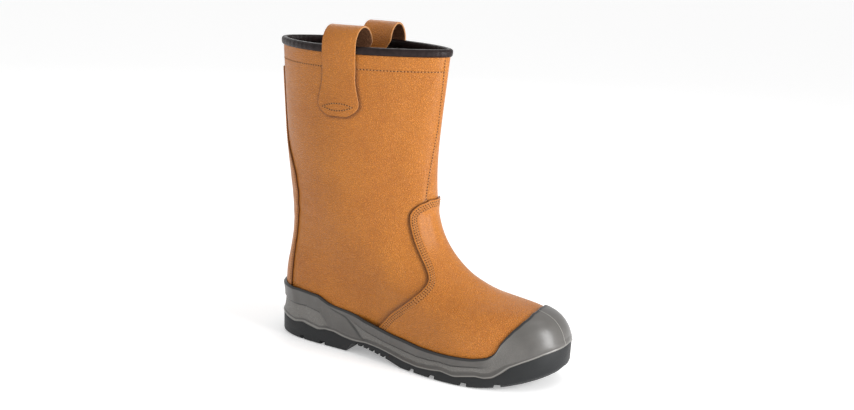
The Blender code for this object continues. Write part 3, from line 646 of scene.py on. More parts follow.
def full_grain_leather():
    def build(w, shader):
        c = colours()
        grain = use_effect(w, pebble_grain(), Size=sizes().grain_size)
        broad = use_effect(w, uneven_tone(), Size=0.055, Softness=0.17)["Tone"]
        close = use_effect(w, uneven_tone(), Size=0.0042, Softness=0.20)["Tone"]
        scuffs = use_effect(w, fine_scuffs(), Size=0.016)["Scuffs"]
        colour = w.mix(broad, opaque(c.leather_deep), opaque(c.leather))
        colour = w.mix(w.math("MULTIPLY", close, 0.30), colour, opaque(c.leather_light))
        colour = w.mix(w.math("MULTIPLY", grain["Valleys"], 0.42), colour, opaque(c.leather_dark))
        colour = w.mix(w.math("MULTIPLY", scuffs, 0.25), colour, opaque(c.leather_light))
        # painted shade: the edge field darkens the leather below the vamp's edge, around the pull loops,
        # along the patches' lower edges and under them
        colour = w.mix(w.field("edge"), colour, opaque(c.painted_edge_shade))
        w.put(shader, "Base Color", colour)
        w.put(shader, "Roughness", w.span(broad, 0.0, 1.0, 0.50, 0.40))
        fine = w.bump(grain["Height"], 0.00060, 1.0)
        w.put(shader, "Normal", w.bump(broad, 0.0006, 0.35, fine))
        w.fill(shader, Specular_IOR_Level=0.30, Coat_Weight=0.22, Coat_Roughness=0.32)

    return new_material("full_grain_leather", build)


def napped(name, size, dark, light, depth, strength, **settings):
    """A material of short fibres, which is darker between them."""
    def build(w, shader):
        nap = use_effect(w, fibre_nap(), Size=size)
        w.put(shader, "Base Color", w.mix(nap["Shade"], opaque(dark), opaque(light)))
        w.put(shader, "Normal", w.bump(nap["Height"], depth, strength))
        w.fill(shader, **settings)

    return new_material(name, build)


def suede_side():
    c = colours()
    return napped("suede_side", 0.0011, c.suede_dark, c.suede, 0.0006, 0.9,
                  Roughness=0.95, Specular_IOR_Level=0.05)


def cut_leather_edge():
    c = colours()
    return napped("cut_leather_edge", 0.0006, c.cut_edge_dark, c.cut_edge, 0.0003, 0.8,
                  Roughness=0.85, Specular_IOR_Level=0.2)


def lining_cloth():
    c = colours()
    return napped("lining_cloth", 0.0014, c.lining, c.lining_light, 0.0008, 0.9,
                  Roughness=1.0, Specular_IOR_Level=0.1, Sheen_Weight=0.25)


def binding_leather():
    def build(w, shader):
        c = colours()
        grain = use_effect(w, pebble_grain(), Size=0.0007)
        tone = use_effect(w, uneven_tone(), Size=0.006, Softness=0.2)["Tone"]
        colour = w.mix(tone, opaque(c.binding), opaque(c.binding_light))
        w.put(shader, "Base Color", colour)
        w.put(shader, "Roughness", w.span(tone, 0.0, 1.0, 0.46, 0.32))
        fine = w.bump(grain["Height"], 0.00010, 0.6)
        w.put(shader, "Normal", w.bump(tone, 0.0004, 0.5, fine))
        w.fill(shader, Specular_IOR_Level=0.16, Coat_Weight=0.06, Coat_Roughness=0.20)

    return new_material("binding_leather", build)


def moulded_polyurethane():
    def build(w, shader):
        c = colours()
        stipple = use_effect(w, fibre_nap(), Size=0.00075)
        tone = use_effect(w, uneven_tone(), Size=0.020, Softness=0.25)["Tone"]
        scuffs = use_effect(w, fine_scuffs(), Size=0.013)["Scuffs"]
        panel = w.field("panel")
        colour = w.mix(tone, opaque(c.grey_deep), opaque(c.grey))
        speck = w.math("MULTIPLY", w.math("MULTIPLY", stipple["Shade"], panel), 0.55)
        colour = w.mix(speck, colour, opaque(c.grey_rub_and_highlight))
        colour = w.mix(w.math("MULTIPLY", scuffs, 0.20), colour, opaque(c.grey_rub_and_highlight))
        # painted highlight: the ridge field lightens the lip's bead and the cap's flash line
        colour = w.mix(w.field("ridge"), colour, opaque(c.grey_rub_and_highlight))
        # painted shade: the edge field darkens the midsole toward the rubber's black at its ledges, rim and
        # hidden inner rings
        colour = w.mix(w.field("edge"), colour, opaque(c.rubber))
        w.put(shader, "Base Color", colour)
        w.put(shader, "Roughness", w.span(panel, 0.0, 1.0, 0.35, 0.66))
        rough = w.math("MULTIPLY", stipple["Height"], w.math("ADD", w.math("MULTIPLY", panel, 0.9), 0.1))
        w.put(shader, "Normal", w.bump(rough, 0.00035, 0.8))
        w.fill(shader, Specular_IOR_Level=0.45, Coat_Weight=0.18, Coat_Roughness=0.22)

    return new_material("moulded_polyurethane", build)


def black_tread_rubber():
    def build(w, shader):
        c = colours()
        stipple = use_effect(w, fibre_nap(), Size=0.0008)
        tone = use_effect(w, uneven_tone(), Size=0.012, Softness=0.3)["Tone"]
        colour = w.mix(w.math("MULTIPLY", tone, 0.6), opaque(c.rubber), opaque(c.rubber_dusty))
        w.put(shader, "Base Color", colour)
        w.put(shader, "Roughness", w.span(tone, 0.0, 1.0, 0.46, 0.60))
        w.put(shader, "Normal", w.bump(stipple["Height"], 0.00022, 0.6))
        shader.inputs["Specular IOR Level"].default_value = 0.32

    return new_material("black_tread_rubber", build)


def sewing_thread():
    def build(w, shader):
        c = colours()
        place = scaled_place(w, 0.0009)
        twist = w.node("ShaderNodeTexWave", {"wave_type": "BANDS", "bands_direction": "DIAGONAL"},
                       Vector=place, Scale=1.0, Distortion=1.5)
        colour = w.mix(twist.outputs["Fac"], opaque(c.thread_dark), opaque(c.thread))
        w.put(shader, "Base Color", colour)
        shader.inputs["Roughness"].default_value = 0.6
        w.put(shader, "Normal", w.bump(twist.outputs["Fac"], 0.0001, 0.6))

    return new_material("sewing_thread", build)


def needle_hole_shade():
    def build(w, shader):
        # painted shade: dark discs on the leather stand in for the shade inside the needle holes
        tone = use_effect(w, uneven_tone(), Size=0.002, Softness=0.2)["Tone"]
        dark = tuple(colours().hole)
        w.put(shader, "Base Color", w.mix(tone, opaque(v * 0.6 for v in dark), opaque(dark)))
        shader.inputs["Roughness"].default_value = 0.9

    return new_material("needle_hole_shade", build)


# pieces

def edge_distance(points, edge_points):
    """Distance of each point from a line of edge points."""
    tree = KDTree(len(edge_points))
    for i, point in enumerate(edge_points):
        tree.insert(point, i)
    tree.balance()
    flat = points.reshape(-1, 3)
    found = np.array([tree.find(p)[2] for p in flat])
    return found.reshape(points.shape[:-1])


def seam_relief(distance, rows, puff=0.00016):
    """Sunken lines at the rows of stitches, with the leather puffed up between."""
    height = np.zeros(np.shape(distance))
    for row in rows:
        height = height - puff * bell((distance - row) / 0.00050)
    for first, second in zip(rows[:-1], rows[1:]):
        height = height + 0.7 * puff * bell((distance - 0.5 * (first + second)) / 0.00050)
    return height


def build_shaft():
    levels = np.linspace(0.0, 1.0, 250)
    turns = closed_turns(290)
    level, turn = np.meshgrid(levels, turns, indexing="ij")
    wall = sizes().upper_wall
    # painted shade: darker leather in a band just below the vamp's edge and in a line around each pull loop,
    # kept in the edge field
    below_vamp = vamp_turn(level) - half_turn(turn)
    shade = bell(below_vamp * math.pi * BALL_HALF_WIDTH / 0.0011) * 0.55
    shade = np.where(level < VAMP_TOP + 0.004, shade, 0.0)
    for side in (-1.0, 1.0):
        strap = loop_grid(side, np.linspace(-1.0, 1.0, 41))[:62]
        border = np.concatenate([strap[:, 0], strap[:, -1], strap[0]])
        distance = edge_distance(form_points(level, turn), border)
        shade = np.maximum(shade, 0.60 * bell((distance - GAP - sizes().strap_wall) / 0.0009))
    relief = collar_row_relief(level) + front_seam_relief(level, turn)
    outer = leather_points(level, turn, relief)
    low = np.linspace(1.0, 0.0, 60)
    level_in, turn_in = np.meshgrid(low, turns, indexing="ij")
    inner = leather_points(level_in, turn_in, -0.6 * wall)
    points = np.concatenate([outer.reshape(-1, 3), inner.reshape(-1, 3)])
    quads = grid_quads(len(levels) + len(low), len(turns), True, True)
    edge = np.concatenate([shade.ravel(), np.zeros(inner.shape[0] * inner.shape[1])])
    make_piece("shaft_leather", points, quads, [full_grain_leather()], ("upper",),
               fields={"edge": edge})
    build_lining()


def collar_row_relief(level):
    return -0.00018 * bell((level - COLLAR_ROW_LEVEL) * LEVEL_SPAN / 0.0007)


def front_seam_relief(level, turn):
    off = (turn - straight_line(FRONT_SEAM, level)) * math.pi * BALL_HALF_WIDTH * 0.72
    above = ease((level - VAMP_TOP + 0.008) / 0.02)
    step = 0.00045 * ease((off - 0.0012) / 0.0010) * (1.0 - ease((off - 0.0020) / 0.012))
    return above * (step - 0.00018 * bell(off / 0.0008))


def build_lining():
    levels = np.linspace(0.004, 0.996, 120)
    turns = closed_turns(200)
    level, turn = np.meshgrid(levels, turns, indexing="ij")
    wall = sizes().upper_wall
    outer = leather_points(level, turn, -0.6 * wall - 0.00002)
    inner = leather_points(level[::-1], turn[::-1], -wall)
    points = np.concatenate([outer.reshape(-1, 3), inner.reshape(-1, 3)])
    quads = grid_quads(2 * len(levels), len(turns), True, True)
    make_piece("shaft_lining", points, quads, [lining_cloth()])


def patch_levels(top, count, below, near):
    """Levels of a patch's rows, close together near its top."""
    levels = np.concatenate([np.linspace(0.006, top - below, count), top - near[::-1] / LEVEL_SPAN])
    return np.unique(np.round(levels, 6))


def edge_steps(reach):
    """Distances from a patch's edge for its columns of points."""
    return np.concatenate([[0.0, 0.00015, 0.0004, 0.0007], np.arange(0.0011, reach, 0.0004)])


def build_vamp():
    near = edge_steps(0.0078)
    levels = patch_levels(VAMP_TOP, 165, 0.027, near)
    limit = vamp_limit(levels)
    rate = turn_rate(levels, limit)
    slope = np.gradient(limit * rate, levels * LEVEL_SPAN)
    lean = np.clip(np.sqrt(1.0 + slope * slope), 1.0, 2.6)
    rows = []
    for i, start in enumerate(limit):
        side = start + near * lean[i] / rate[i]
        side = np.minimum(side, start + (1.0 - start) * near / near[-1] * 0.8)
        middle = np.linspace(side[-1], 2.0 - side[-1], 122)[1:-1]
        rows.append(np.concatenate([side, middle, (2.0 - side)[::-1]]))
    turn = np.array(rows)
    level = np.repeat(levels[:, None], turn.shape[1], axis=1)
    edge_line = np.concatenate([
        form_points(levels, limit),
        form_points(np.full(60, VAMP_TOP), np.linspace(limit[-1], 2.0 - limit[-1], 60)),
        form_points(levels[::-1], 2.0 - limit[::-1]),
    ])
    patch_piece("vamp_leather", level, turn, edge_line, sizes().vamp_wall, VAMP_ROWS, ("vamp",))


def build_backstay():
    near = edge_steps(0.0036)
    levels = patch_levels(BACKSTAY_TOP, 220, 0.012, near)
    limit = backstay_limit(levels)
    rate = turn_rate(levels, limit)
    rows = []
    for i, start in enumerate(limit):
        side = start - near / rate[i]
        middle = np.linspace(-side[-1], side[-1], 42)[1:-1]
        rows.append(np.concatenate([-side, middle, side[::-1]]))
    turn = np.array(rows)
    level = np.repeat(levels[:, None], turn.shape[1], axis=1)
    top_turns = np.mod(np.linspace(limit[-1], -limit[-1], 30), 2.0)
    edge_line = np.concatenate([
        form_points(levels, limit),
        form_points(np.full(30, BACKSTAY_TOP), top_turns),
        form_points(levels[::-1], 2.0 - limit[::-1]),
    ])
    patch_piece("backstay_leather", level, np.mod(turn, 2.0), edge_line,
                sizes().backstay_wall, BACKSTAY_SEAM, ("backstay",))


def patch_piece(name, level, turn, edge_line, wall, seam_rows, replaces):
    """A leather overlay with rounded edges and sunken seams, closed at its underside."""
    distance = edge_distance(form_points(level, turn), edge_line)
    round_off = np.sqrt(np.clip(1.0 - (1.0 - np.clip(distance / 0.0010, 0.0, 1.0)) ** 2, 0.0, 1.0))
    height = PATCH_GAP + wall * (0.30 + 0.70 * round_off) + seam_relief(distance, seam_rows)
    outer = leather_points(level, turn, height)
    inner = leather_points(level, turn, 0.0 * height + PATCH_GAP)
    rings = np.concatenate([outer, inner[:, ::-1]], axis=1)
    quads = tube_quads(*rings.shape[:2])
    # painted shade: a dark line along the lower part of the patch's edge, with its cut edge and underside
    # darkened
    dark = 0.85 * bell(distance / 0.00035) * ease((0.72 - level) / 0.08)
    edge = np.concatenate([dark, np.ones_like(dark) * 0.6], axis=1)
    piece = make_piece(name, rings.reshape(-1, 3), quads, [full_grain_leather()], replaces,
                       fields={"edge": edge})
    face_outwards(piece)


def build_binding():
    """Rolled band over the collar's edge."""
    turns = closed_turns(320)
    wall, drop = sizes().binding_wall, sizes().binding_drop
    inner = -sizes().upper_wall - GAP
    out = GAP + wall
    section = [
        (GAP, -drop), (0.6 * out, -drop - 0.0002), (out, -drop + 0.0004),
        (out + 0.0004, -0.6 * drop), (out + 0.0004, -0.25 * drop), (out + 0.0001, 0.1 * drop),
    ]
    middle, half = 0.5 * (out + inner - wall), 0.5 * (out - inner + wall)
    for degrees in range(15, 180, 15):
        angle = math.radians(degrees)
        section.append((middle + half * math.cos(angle), 0.0002 + (GAP + wall + 0.0002) * math.sin(angle)))
    section += [
        (inner - wall, -0.2 * drop), (inner - wall, -0.8 * drop), (inner - 0.4 * wall, -drop - 0.0002),
        (inner, -drop), (inner, -0.3 * drop), (inner, GAP),
        (0.5 * inner, GAP), (GAP, GAP), (GAP, -0.5 * drop),
    ]
    rim = form_points(np.ones_like(turns), turns)
    normal = form_normals(np.ones_like(turns), turns)
    upward = unit(rim - form_points(np.full_like(turns, 0.98), turns))
    ripple = 0.00012 * np.sin(turns * 210.0 + 1.3 * np.sin(turns * 37.0))
    rings = []
    for a, b in section:
        puff = ripple * ((a > 0.8 * out) or (a < inner - 0.5 * wall))
        rings.append(rim + normal * (a + puff)[:, None] + upward * b)
    points = np.concatenate(rings)
    quads = grid_quads(len(rings), len(turns), True, True)
    piece = make_piece("binding_roll", points, quads, [binding_leather()],
                       ("collar_binding",))
    face_outwards(piece)


def wall_row(level, x_places, offset, side):
    """Points of the form's wall at one level that have the given x, at an offset."""
    turns = np.linspace(0.2, 0.8, 241)
    if side > 0.0:
        turns = 2.0 - turns
    points = form_points(np.full_like(turns, level), turns)
    turn = np.interp(x_places, points[:, 0], turns)
    levels = np.full_like(turn, level)
    return form_points(levels, turn) + form_normals(levels, turn) * offset


def loop_grid(side, across):
    """Middle surface of a pull loop's outer face, from its tip to its inner end."""
    strap_wall = sizes().strap_wall
    width, tip = sizes().strap_width, STRAP_TIP_WIDTH
    clear = GAP + strap_wall
    over = GAP + sizes().binding_wall + 0.0003 + GAP + strap_wall
    rows = np.concatenate([np.linspace(0.7922, 0.812, 16), np.linspace(0.815, 0.984, 48)])
    grid = []
    for level in rows:
        run = (level - 0.792) * LEVEL_SPAN
        wide = width + (tip - width) * (1.0 - float(ease((run - 0.008) / 0.030)))
        round_off = math.sqrt(max(1.0 - max(1.0 - (run + 0.0014) / 0.015, 0.0) ** 2, 0.0))
        offset = clear + (over - clear) * float(ease((level - 0.93) / 0.045))
        grid.append(wall_row(level, STRAP_CENTRE + across * 0.5 * wide * round_off, offset, side))
    reach = LOOP_REACH + strap_wall
    rim = wall_row(1.0, STRAP_CENTRE + across * 0.5 * width, over, side)
    for degrees in np.linspace(0.0, 180.0, 44):
        angle = math.radians(degrees)
        inward, rise = 0.5 * reach * (1.0 - math.cos(angle)), LOOP_RISE * math.sin(angle)
        grid.append(rim + np.array([0.0, -side * inward, 0.0015 + rise]))
    inside = sizes().upper_wall + 2.0 * GAP + strap_wall
    away = reach - over - inside
    for level in np.linspace(0.985, 0.82, 30):
        offset = inside + away * float(ease((level - 0.85) / 0.13))
        grid.append(wall_row(level, STRAP_CENTRE + across * 0.5 * width, -offset, side))
    grid = np.array(grid)
    smoothed(grid[19:], 3)
    return grid


def build_pull_loop(name, side, replaces):
    across = np.sin(np.linspace(-0.5, 0.5, 27) * math.pi)
    grid = loop_grid(side, across)
    along = np.gradient(grid, axis=0)
    sideways = np.gradient(grid, axis=1)
    normal = -unit(np.cross(sideways, along) * side)
    thick = sizes().strap_wall
    gap_edge = np.minimum(across + 1.0, 1.0 - across) * 0.5 * sizes().strap_width
    bevel = np.sqrt(np.clip(1.0 - (1.0 - np.clip(gap_edge / 0.0007, 0.0, 1.0)) ** 2, 0.0, 1.0))
    lift = (1.0 - bevel) * 0.22 * thick
    top = grid - normal * lift[None, :, None]
    bottom = grid - normal * (thick - lift)[None, :, None]
    rings = np.concatenate([top, bottom[:, ::-1]], axis=1)
    rows, columns = rings.shape[:2]
    quads = tube_quads(rows, columns)
    # slot 0 is the grain side, 1 the suede side and 2 the cut edges and ends
    around = np.ones(columns, int)
    around[:len(across) - 1] = 0
    around[[len(across) - 1, columns - 1]] = 2
    slots = np.full(len(quads), 2)
    slots[:(rows - 1) * columns] = np.tile(around, rows - 1)
    materials = [full_grain_leather(), suede_side(), cut_leather_edge()]
    piece = make_piece(name, rings.reshape(-1, 3), quads, materials, replaces, slots,
                       {"edge": np.zeros((rows, columns))})
    piece.data.set_sharp_from_angle(angle=math.radians(50.0))
    face_outwards(piece)


def sole_outline(turns, inset):
    half = half_turn(turns)
    side = np.where(turns > 1.0, 1.0, -1.0)
    along = (1.0 - np.cos(math.pi * half)) / 2.0
    x = SOLE_BACK + inset + (SOLE_LENGTH - 2.0 * inset) * along
    full = BALL_HALF_WIDTH * spline(STATIONS, SOLE_WIDTHS, half, clamped=True) - inset
    centre = sway(form_share(x))
    return np.stack([x, centre + side * full * np.sin(math.pi * half)], axis=-1)


def sole_ring(turns, inset, heights):
    return np.column_stack([sole_outline(turns, inset), heights])


def sole_share(turns, inset=0.0):
    return (sole_outline(turns, inset)[:, 0] - SOLE_BACK) / SOLE_LENGTH


def lip_height(turns):
    return HEEL_SEAT * rounded_line(LIP_LINE, half_turn(turns), 0.006)


def rim_level(turns):
    return rounded_line(RIM_LEVELS, half_turn(turns), 0.008)


def clearance(turns):
    """Room that the midsole leaves for the vamp and the back strip."""
    half = half_turn(turns)
    back = (sizes().backstay_wall + PATCH_GAP) * (1.0 - ease((half - 0.175) / 0.035))
    front = (sizes().vamp_wall + PATCH_GAP) * ease((half - 0.385) / 0.035)
    return 1.3 * GAP + back + front


def midsole_wall(turns, places):
    """Outer side of the midsole and cap at shares from the lip up to the rim."""
    half = half_turn(turns)
    rim = rim_level(turns)
    toe = ease((half - 0.70) / 0.14)
    inside = clearance(turns)
    low = sole_ring(turns, -LIP_BULGE, lip_height(turns) + GAP)
    high = leather_points(rim, turns, inside + RIM_WALL, False)
    shoulder_level = rim * (0.30 + 0.12 * toe)
    swell = SIDE_BULGE + (TOE_WALL - RIM_WALL) * toe
    middle = leather_points(shoulder_level, turns, inside + RIM_WALL + swell, False)
    out = unit(sole_outline(turns, -0.001) - sole_outline(turns, 0.0))
    out = np.column_stack([out, np.zeros(len(out))])
    share = np.clip((middle[:, 2] - low[:, 2]) / (high[:, 2] - low[:, 2]), 0.25, 0.75)[:, None]
    height = np.linalg.norm(high - low, axis=1)
    table = np.array(ZONES)
    zone = [np.interp(half, table[:, 0], table[:, i]) for i in range(1, 5)]
    ledge = np.clip(rounded_line(HEEL_LEDGE, half, 0.006), 0.05, 0.90)
    crease = np.maximum(rounded_line(CREASE, half, 0.006), ledge + 0.05)
    band = np.maximum(rounded_line(SIDE_LEDGE, half, 0.006), crease + 0.05)
    borders = ((ledge, zone[0], zone[1]), (crease, zone[1], zone[2]), (band, zone[2], zone[3]))
    grid, panel, shade = [], [], []
    for w in places:
        # a, b and c weigh the three points that the side's curve runs through
        a = (w - share) * (w - 1.0) / share
        b = w * (w - 1.0) / (share * (share - 1.0))
        c = w * (w - share) / (1.0 - share)
        soft = 0.0006 / height
        proud = zone[0].copy()
        # painted shade: a dark line under each ledge between the bands
        line = np.zeros_like(half)
        for border, before, after in borders:
            proud = proud + (after - before) * ease((w - border) / (2.0 * soft) + 0.5)
            across = (w - border) * height + 0.0002
            line = line + np.minimum(np.abs(after - before), 1.0) * bell(across / 0.00050)
        line = np.clip(line, 0.0, 1.0) * (1.0 - toe)
        rise = proud * 1.15 * BAND_STEP * (1.0 - toe) - 0.00055 * line
        from_lip = w * height
        bead = 0.0007 * bell((from_lip - 0.0012) / 0.0008) * (1.0 - 0.5 * toe)
        groove = -0.0006 * bell((from_lip - 0.0030) / 0.0006) * (1.0 - 0.4 * toe)
        from_rim = (1.0 - w) * height
        round_in = -0.0012 * (1.0 - ease(from_rim / 0.0014)) * (1.0 - 0.6 * toe)
        side_point = low * a + middle * b + high * c
        up = np.clip((w - share[:, 0]) / (1.0 - share[:, 0]), 0.0, 1.0)
        level = shoulder_level + (rim - shoulder_level) * up
        dome = leather_points(level, turns, inside + RIM_WALL + swell * (1.0 - up), False)
        dome = np.where(w < share, side_point, dome)
        point = side_point + (dome - side_point) * toe[:, None]
        grid.append(point + out * (rise + bead + groove + round_in)[:, None])
        smooth_band = np.clip(1.0 - proud / 0.5, 0.0, 1.0) * (1.0 - toe)
        panel.append(smooth_band * ease((from_lip - 0.0036) / 0.0008))
        # a dark cement line along the rim under the leather, widened with painted shade
        rim_cement_and_shade = 1.0 - ease((from_rim - 0.0010) / 0.0009)
        shade.append(np.maximum(0.85 * line, 0.9 * rim_cement_and_shade))
    return np.array(grid), np.array(panel), np.array(shade)


def build_midsole():
    turns = closed_turns(640)
    places = np.concatenate([np.linspace(0.0, 0.16, 17)[:-1], np.linspace(0.16, 1.0, 90)])
    wall, panel, shade = midsole_wall(turns, places)
    rim = rim_level(turns)
    inside = clearance(turns)
    core = HEEL_SEAT * smooth_line(CORE_LINE, sole_share(turns, SHELL_INSET))
    lip = lip_height(turns)
    shift = 1.5 * GAP * np.clip((lip - core) / 0.003, -1.0, 1.0)
    toe = ease((half_turn(turns) - 0.70) / 0.08)
    before = [
        sole_ring(turns, SHELL_INSET + shift, core + GAP),
        sole_ring(turns, SHELL_WALL + shift, lip + GAP),
        sole_ring(turns, 0.0002, lip + 0.0001),
    ]
    after = [
        leather_points(rim + 0.0015, turns, inside + 0.3 * RIM_WALL, False),
        leather_points(rim + 0.0010, turns, inside, False),
    ]
    for share, room in ((0.92, 0.5), (0.74, 1.0), (0.48, 1.0), (0.20, 0.6)):
        after.append(leather_points(rim * share, turns, inside + room * TOE_EASE * toe, False))
    for offset in (inside, -sizes().upper_wall - 0.002):
        after.append(seat_ring(turns, offset, -GAP))
    rings = before + list(wall) + after
    rows, columns = len(rings), len(turns)
    zero = [np.zeros(columns)]
    panels = np.concatenate(zero * len(before) + list(panel) + zero * len(after))
    # painted shade: ledge lines and rim from midsole_wall, the rim's top and the rings tucked under the
    # leather, and the inner rings under the lip
    edge = np.zeros((rows, columns))
    edge[len(before):len(before) + len(places), :] = shade
    edge[len(before) + len(places) - 2:, :] = 0.9
    edge[:len(before), :] = 0.7
    # painted highlight: a light line along the lip's bead
    ridge = np.zeros((rows, columns))
    lip_row = len(before) + int(np.searchsorted(places, 0.05))
    ridge[lip_row - 2:lip_row + 2, :] = 0.55
    piece = make_piece("midsole_cup", np.concatenate(rings), tube_quads(rows, columns),
                       [moulded_polyurethane()], ("midsole",),
                       fields={"panel": panels, "edge": edge, "ridge": ridge})
    face_outwards(piece)


def build_flash_line():
    """Thin ridge that the mould leaves over the middle of the scuff cap, with a painted highlight."""
    places = np.linspace(0.03, 0.985, 90)
    wall, _, _ = midsole_wall(np.array([0.965, 0.970, 0.975]), places)
    path = wall[:, 1]
    across = unit(wall[:, 2] - wall[:, 0])
    lift = np.cross(unit(np.gradient(path, axis=0)), across)
    rings = []
    for degrees in range(0, 360, 60):
        angle = math.radians(degrees)
        rings.append(path + FLASH_RADIUS * (across * math.cos(angle) + lift * math.sin(angle)))
    points = np.stack(rings, axis=1)
    piece = make_piece("cap_flash_line", points.reshape(-1, 3), tube_quads(*points.shape[:2]),
                       [moulded_polyurethane()],
                       fields={"ridge": np.full(points.shape[:2], 0.9)})
    face_outwards(piece)


def tread_height(share):
    """Height of the tread's underside, flat as far as the toe's spring."""
    return np.where(share < TREAD_FLAT, 0.0, np.maximum(HEEL_SEAT * smooth_line(TREAD_LINE, share), 0.0))


def build_outsole():
    turns = closed_turns(480)
    roll = HEEL_SEAT * straight_line(ROLL_LINE, sole_share(turns))
    tread = tread_height(sole_share(turns))
    bottom = tread_height(sole_share(turns, 0.0035))
    lip = lip_height(turns)
    core = HEEL_SEAT * smooth_line(CORE_LINE, sole_share(turns, SHELL_INSET))
    rings = [
        sole_ring(turns, 0.0012 + 1.2 * roll, bottom),
        sole_ring(turns, 0.0007 + 0.70 * roll, bottom + 0.15 * roll),
        sole_ring(turns, 0.0004 + 0.35 * roll, tread + 0.45 * roll),
        sole_ring(turns, 0.0001 + 0.10 * roll, tread + 0.75 * roll),
        sole_ring(turns, 0.0, tread + roll + 0.001),
        sole_ring(turns, -0.5 * LIP_BULGE, lip - 0.0004),
        sole_ring(turns, -0.2 * LIP_BULGE, lip),
        sole_ring(turns, SHELL_WALL, lip),
        sole_ring(turns, SHELL_INSET, core),
    ]
    piece = make_piece("tread_outsole", np.concatenate(rings), tube_quads(len(rings), len(turns)),
                       [black_tread_rubber()], ("outsole",))
    face_outwards(piece)
    for name, boxes in tread_cutters():
        mesh = bpy.data.meshes.new(name)
        vertices, faces = [], []
        for corners, sides in boxes:
            start = len(vertices)
            vertices += corners
            faces += [tuple(start + i for i in side) for side in sides]
        mesh.from_pydata(vertices, [], faces)
        cutter = bpy.data.objects.new(name, mesh)
        bpy.context.scene.collection.objects.link(cutter)
        face_outwards(cutter)
        cut = piece.modifiers.new(name, "BOOLEAN")
        cut.operation = "DIFFERENCE"
        cut.solver = "EXACT"
        cut.object = cutter
        apply_modifiers(piece)
        bpy.data.objects.remove(cutter)
    piece.data.set_sharp_from_angle(angle=math.radians(32.0))


def apply_modifiers(piece):
    graph = bpy.context.evaluated_depsgraph_get()
    made = bpy.data.meshes.new_from_object(piece.evaluated_get(graph))
    piece.modifiers.clear()
    piece.data = made


def box_piece(centre, size, degrees, low, high):
    """Corners and sides of an upright box turned about Z."""
    cos, sin = math.cos(math.radians(degrees)), math.sin(math.radians(degrees))
    corners = []
    for z in (low, high):
        for dx, dy in ((-0.5, -0.5), (0.5, -0.5), (0.5, 0.5), (-0.5, 0.5)):
            x, y = dx * size[0], dy * size[1]
            corners.append((centre[0] + x * cos - y * sin, centre[1] + x * sin + y * cos, z))
    sides = [(0, 3, 2, 1), (4, 5, 6, 7), (0, 1, 5, 4), (1, 2, 6, 5), (2, 3, 7, 6), (3, 0, 4, 7)]
    return corners, sides


def tread_cutters():
    def middle_at(x):
        return float(sway(np.array([form_share(x)]))[0])

    side_cuts = []
    for _, place, reach, width, slant in SIDE_GROOVES:
        x = SOLE_BACK + SOLE_LENGTH * place
        top = float(tread_height(np.array([place]))[0]) + GROOVE_DEPTH
        length = BALL_HALF_WIDTH * (reach + 0.45)
        for side in (-1.0, 1.0):
            centre = (x, middle_at(x) + side * (BALL_HALF_WIDTH * 1.30 - 0.5 * length))
            size = (GROOVE_WIDTH * width, length)
            side_cuts.append(box_piece(centre, size, -side * slant, CUTTER_FLOOR, top))
    centre_cuts = []
    for _, place, reach in CENTRE_GROOVES:
        x = SOLE_BACK + SOLE_LENGTH * place
        size = (CENTRE_GROOVE_WIDTH, 2.0 * BALL_HALF_WIDTH * reach)
        centre_cuts.append(box_piece((x, middle_at(x)), size, 0.0, CUTTER_FLOOR, CENTRE_GROOVE_DEPTH))
    profile = [(SOLE_BACK + SOLE_LENGTH * a, HEEL_SEAT * b) for a, b in ARCH_CUT]
    count = len(profile)
    corners = [(x, y, z) for y in (-0.07, 0.07) for x, z in profile]
    sides = [tuple(range(count)), tuple(range(2 * count - 1, count - 1, -1))]
    sides += [(i, count + i, count + (i + 1) % count, (i + 1) % count) for i in range(count)]
    ribs = []
    for place in ARCH_RIBS:
        x = SOLE_BACK + SOLE_LENGTH * place
        top = HEEL_SEAT * float(straight_line(ARCH_CUT[1:-1], place))
        ribs.append(box_piece((x, 0.0), (RIB_WIDTH, 0.14), 0.0, CUTTER_FLOOR, top + RIB_DEPTH))
    return (
        ("arch_cutter", [(corners, sides)]),
        ("side_groove_cutter", side_cuts),
        ("centre_groove_cutter", centre_cuts),
        ("rib_cutter", ribs),
    )


def seat_ring(turns, offset, rise):
    """A ring at an offset from the form's bottom edge, at a rise over the seat."""
    ring = leather_points(np.zeros_like(turns), turns, offset, False)
    ring[:, 2] = seat_height(form_share(ring[:, 0])) + rise
    return ring


def build_insole():
    turns = closed_turns(160)
    rings = []
    for inset, rise in ((4.0, 0.0), (3.0, 0.3), (3.0, 0.75), (4.0, 0.95), (6.0, 1.0)):
        rings.append(seat_ring(turns, -sizes().upper_wall - inset * GAP, rise * INSOLE_WALL))
    piece = make_piece("foot_bed", np.concatenate(rings), tube_quads(len(rings), len(turns)),
                       [lining_cloth()], ("insole",))
    face_outwards(piece)


# seams

def even_steps(points, pitch):
    """Places along a line of points that lie one pitch apart, as shares of its length."""
    length = np.concatenate([[0.0], np.cumsum(np.linalg.norm(np.diff(points, axis=0), axis=1))])
    count = max(int(length[-1] / pitch), 2)
    return np.interp(np.linspace(0.0, length[-1], count + 1), length, np.arange(len(points)))


def resample(values, places):
    index = np.arange(len(values))
    return np.stack([np.interp(places, index, values[:, i]) for i in range(values.shape[1])], axis=-1)


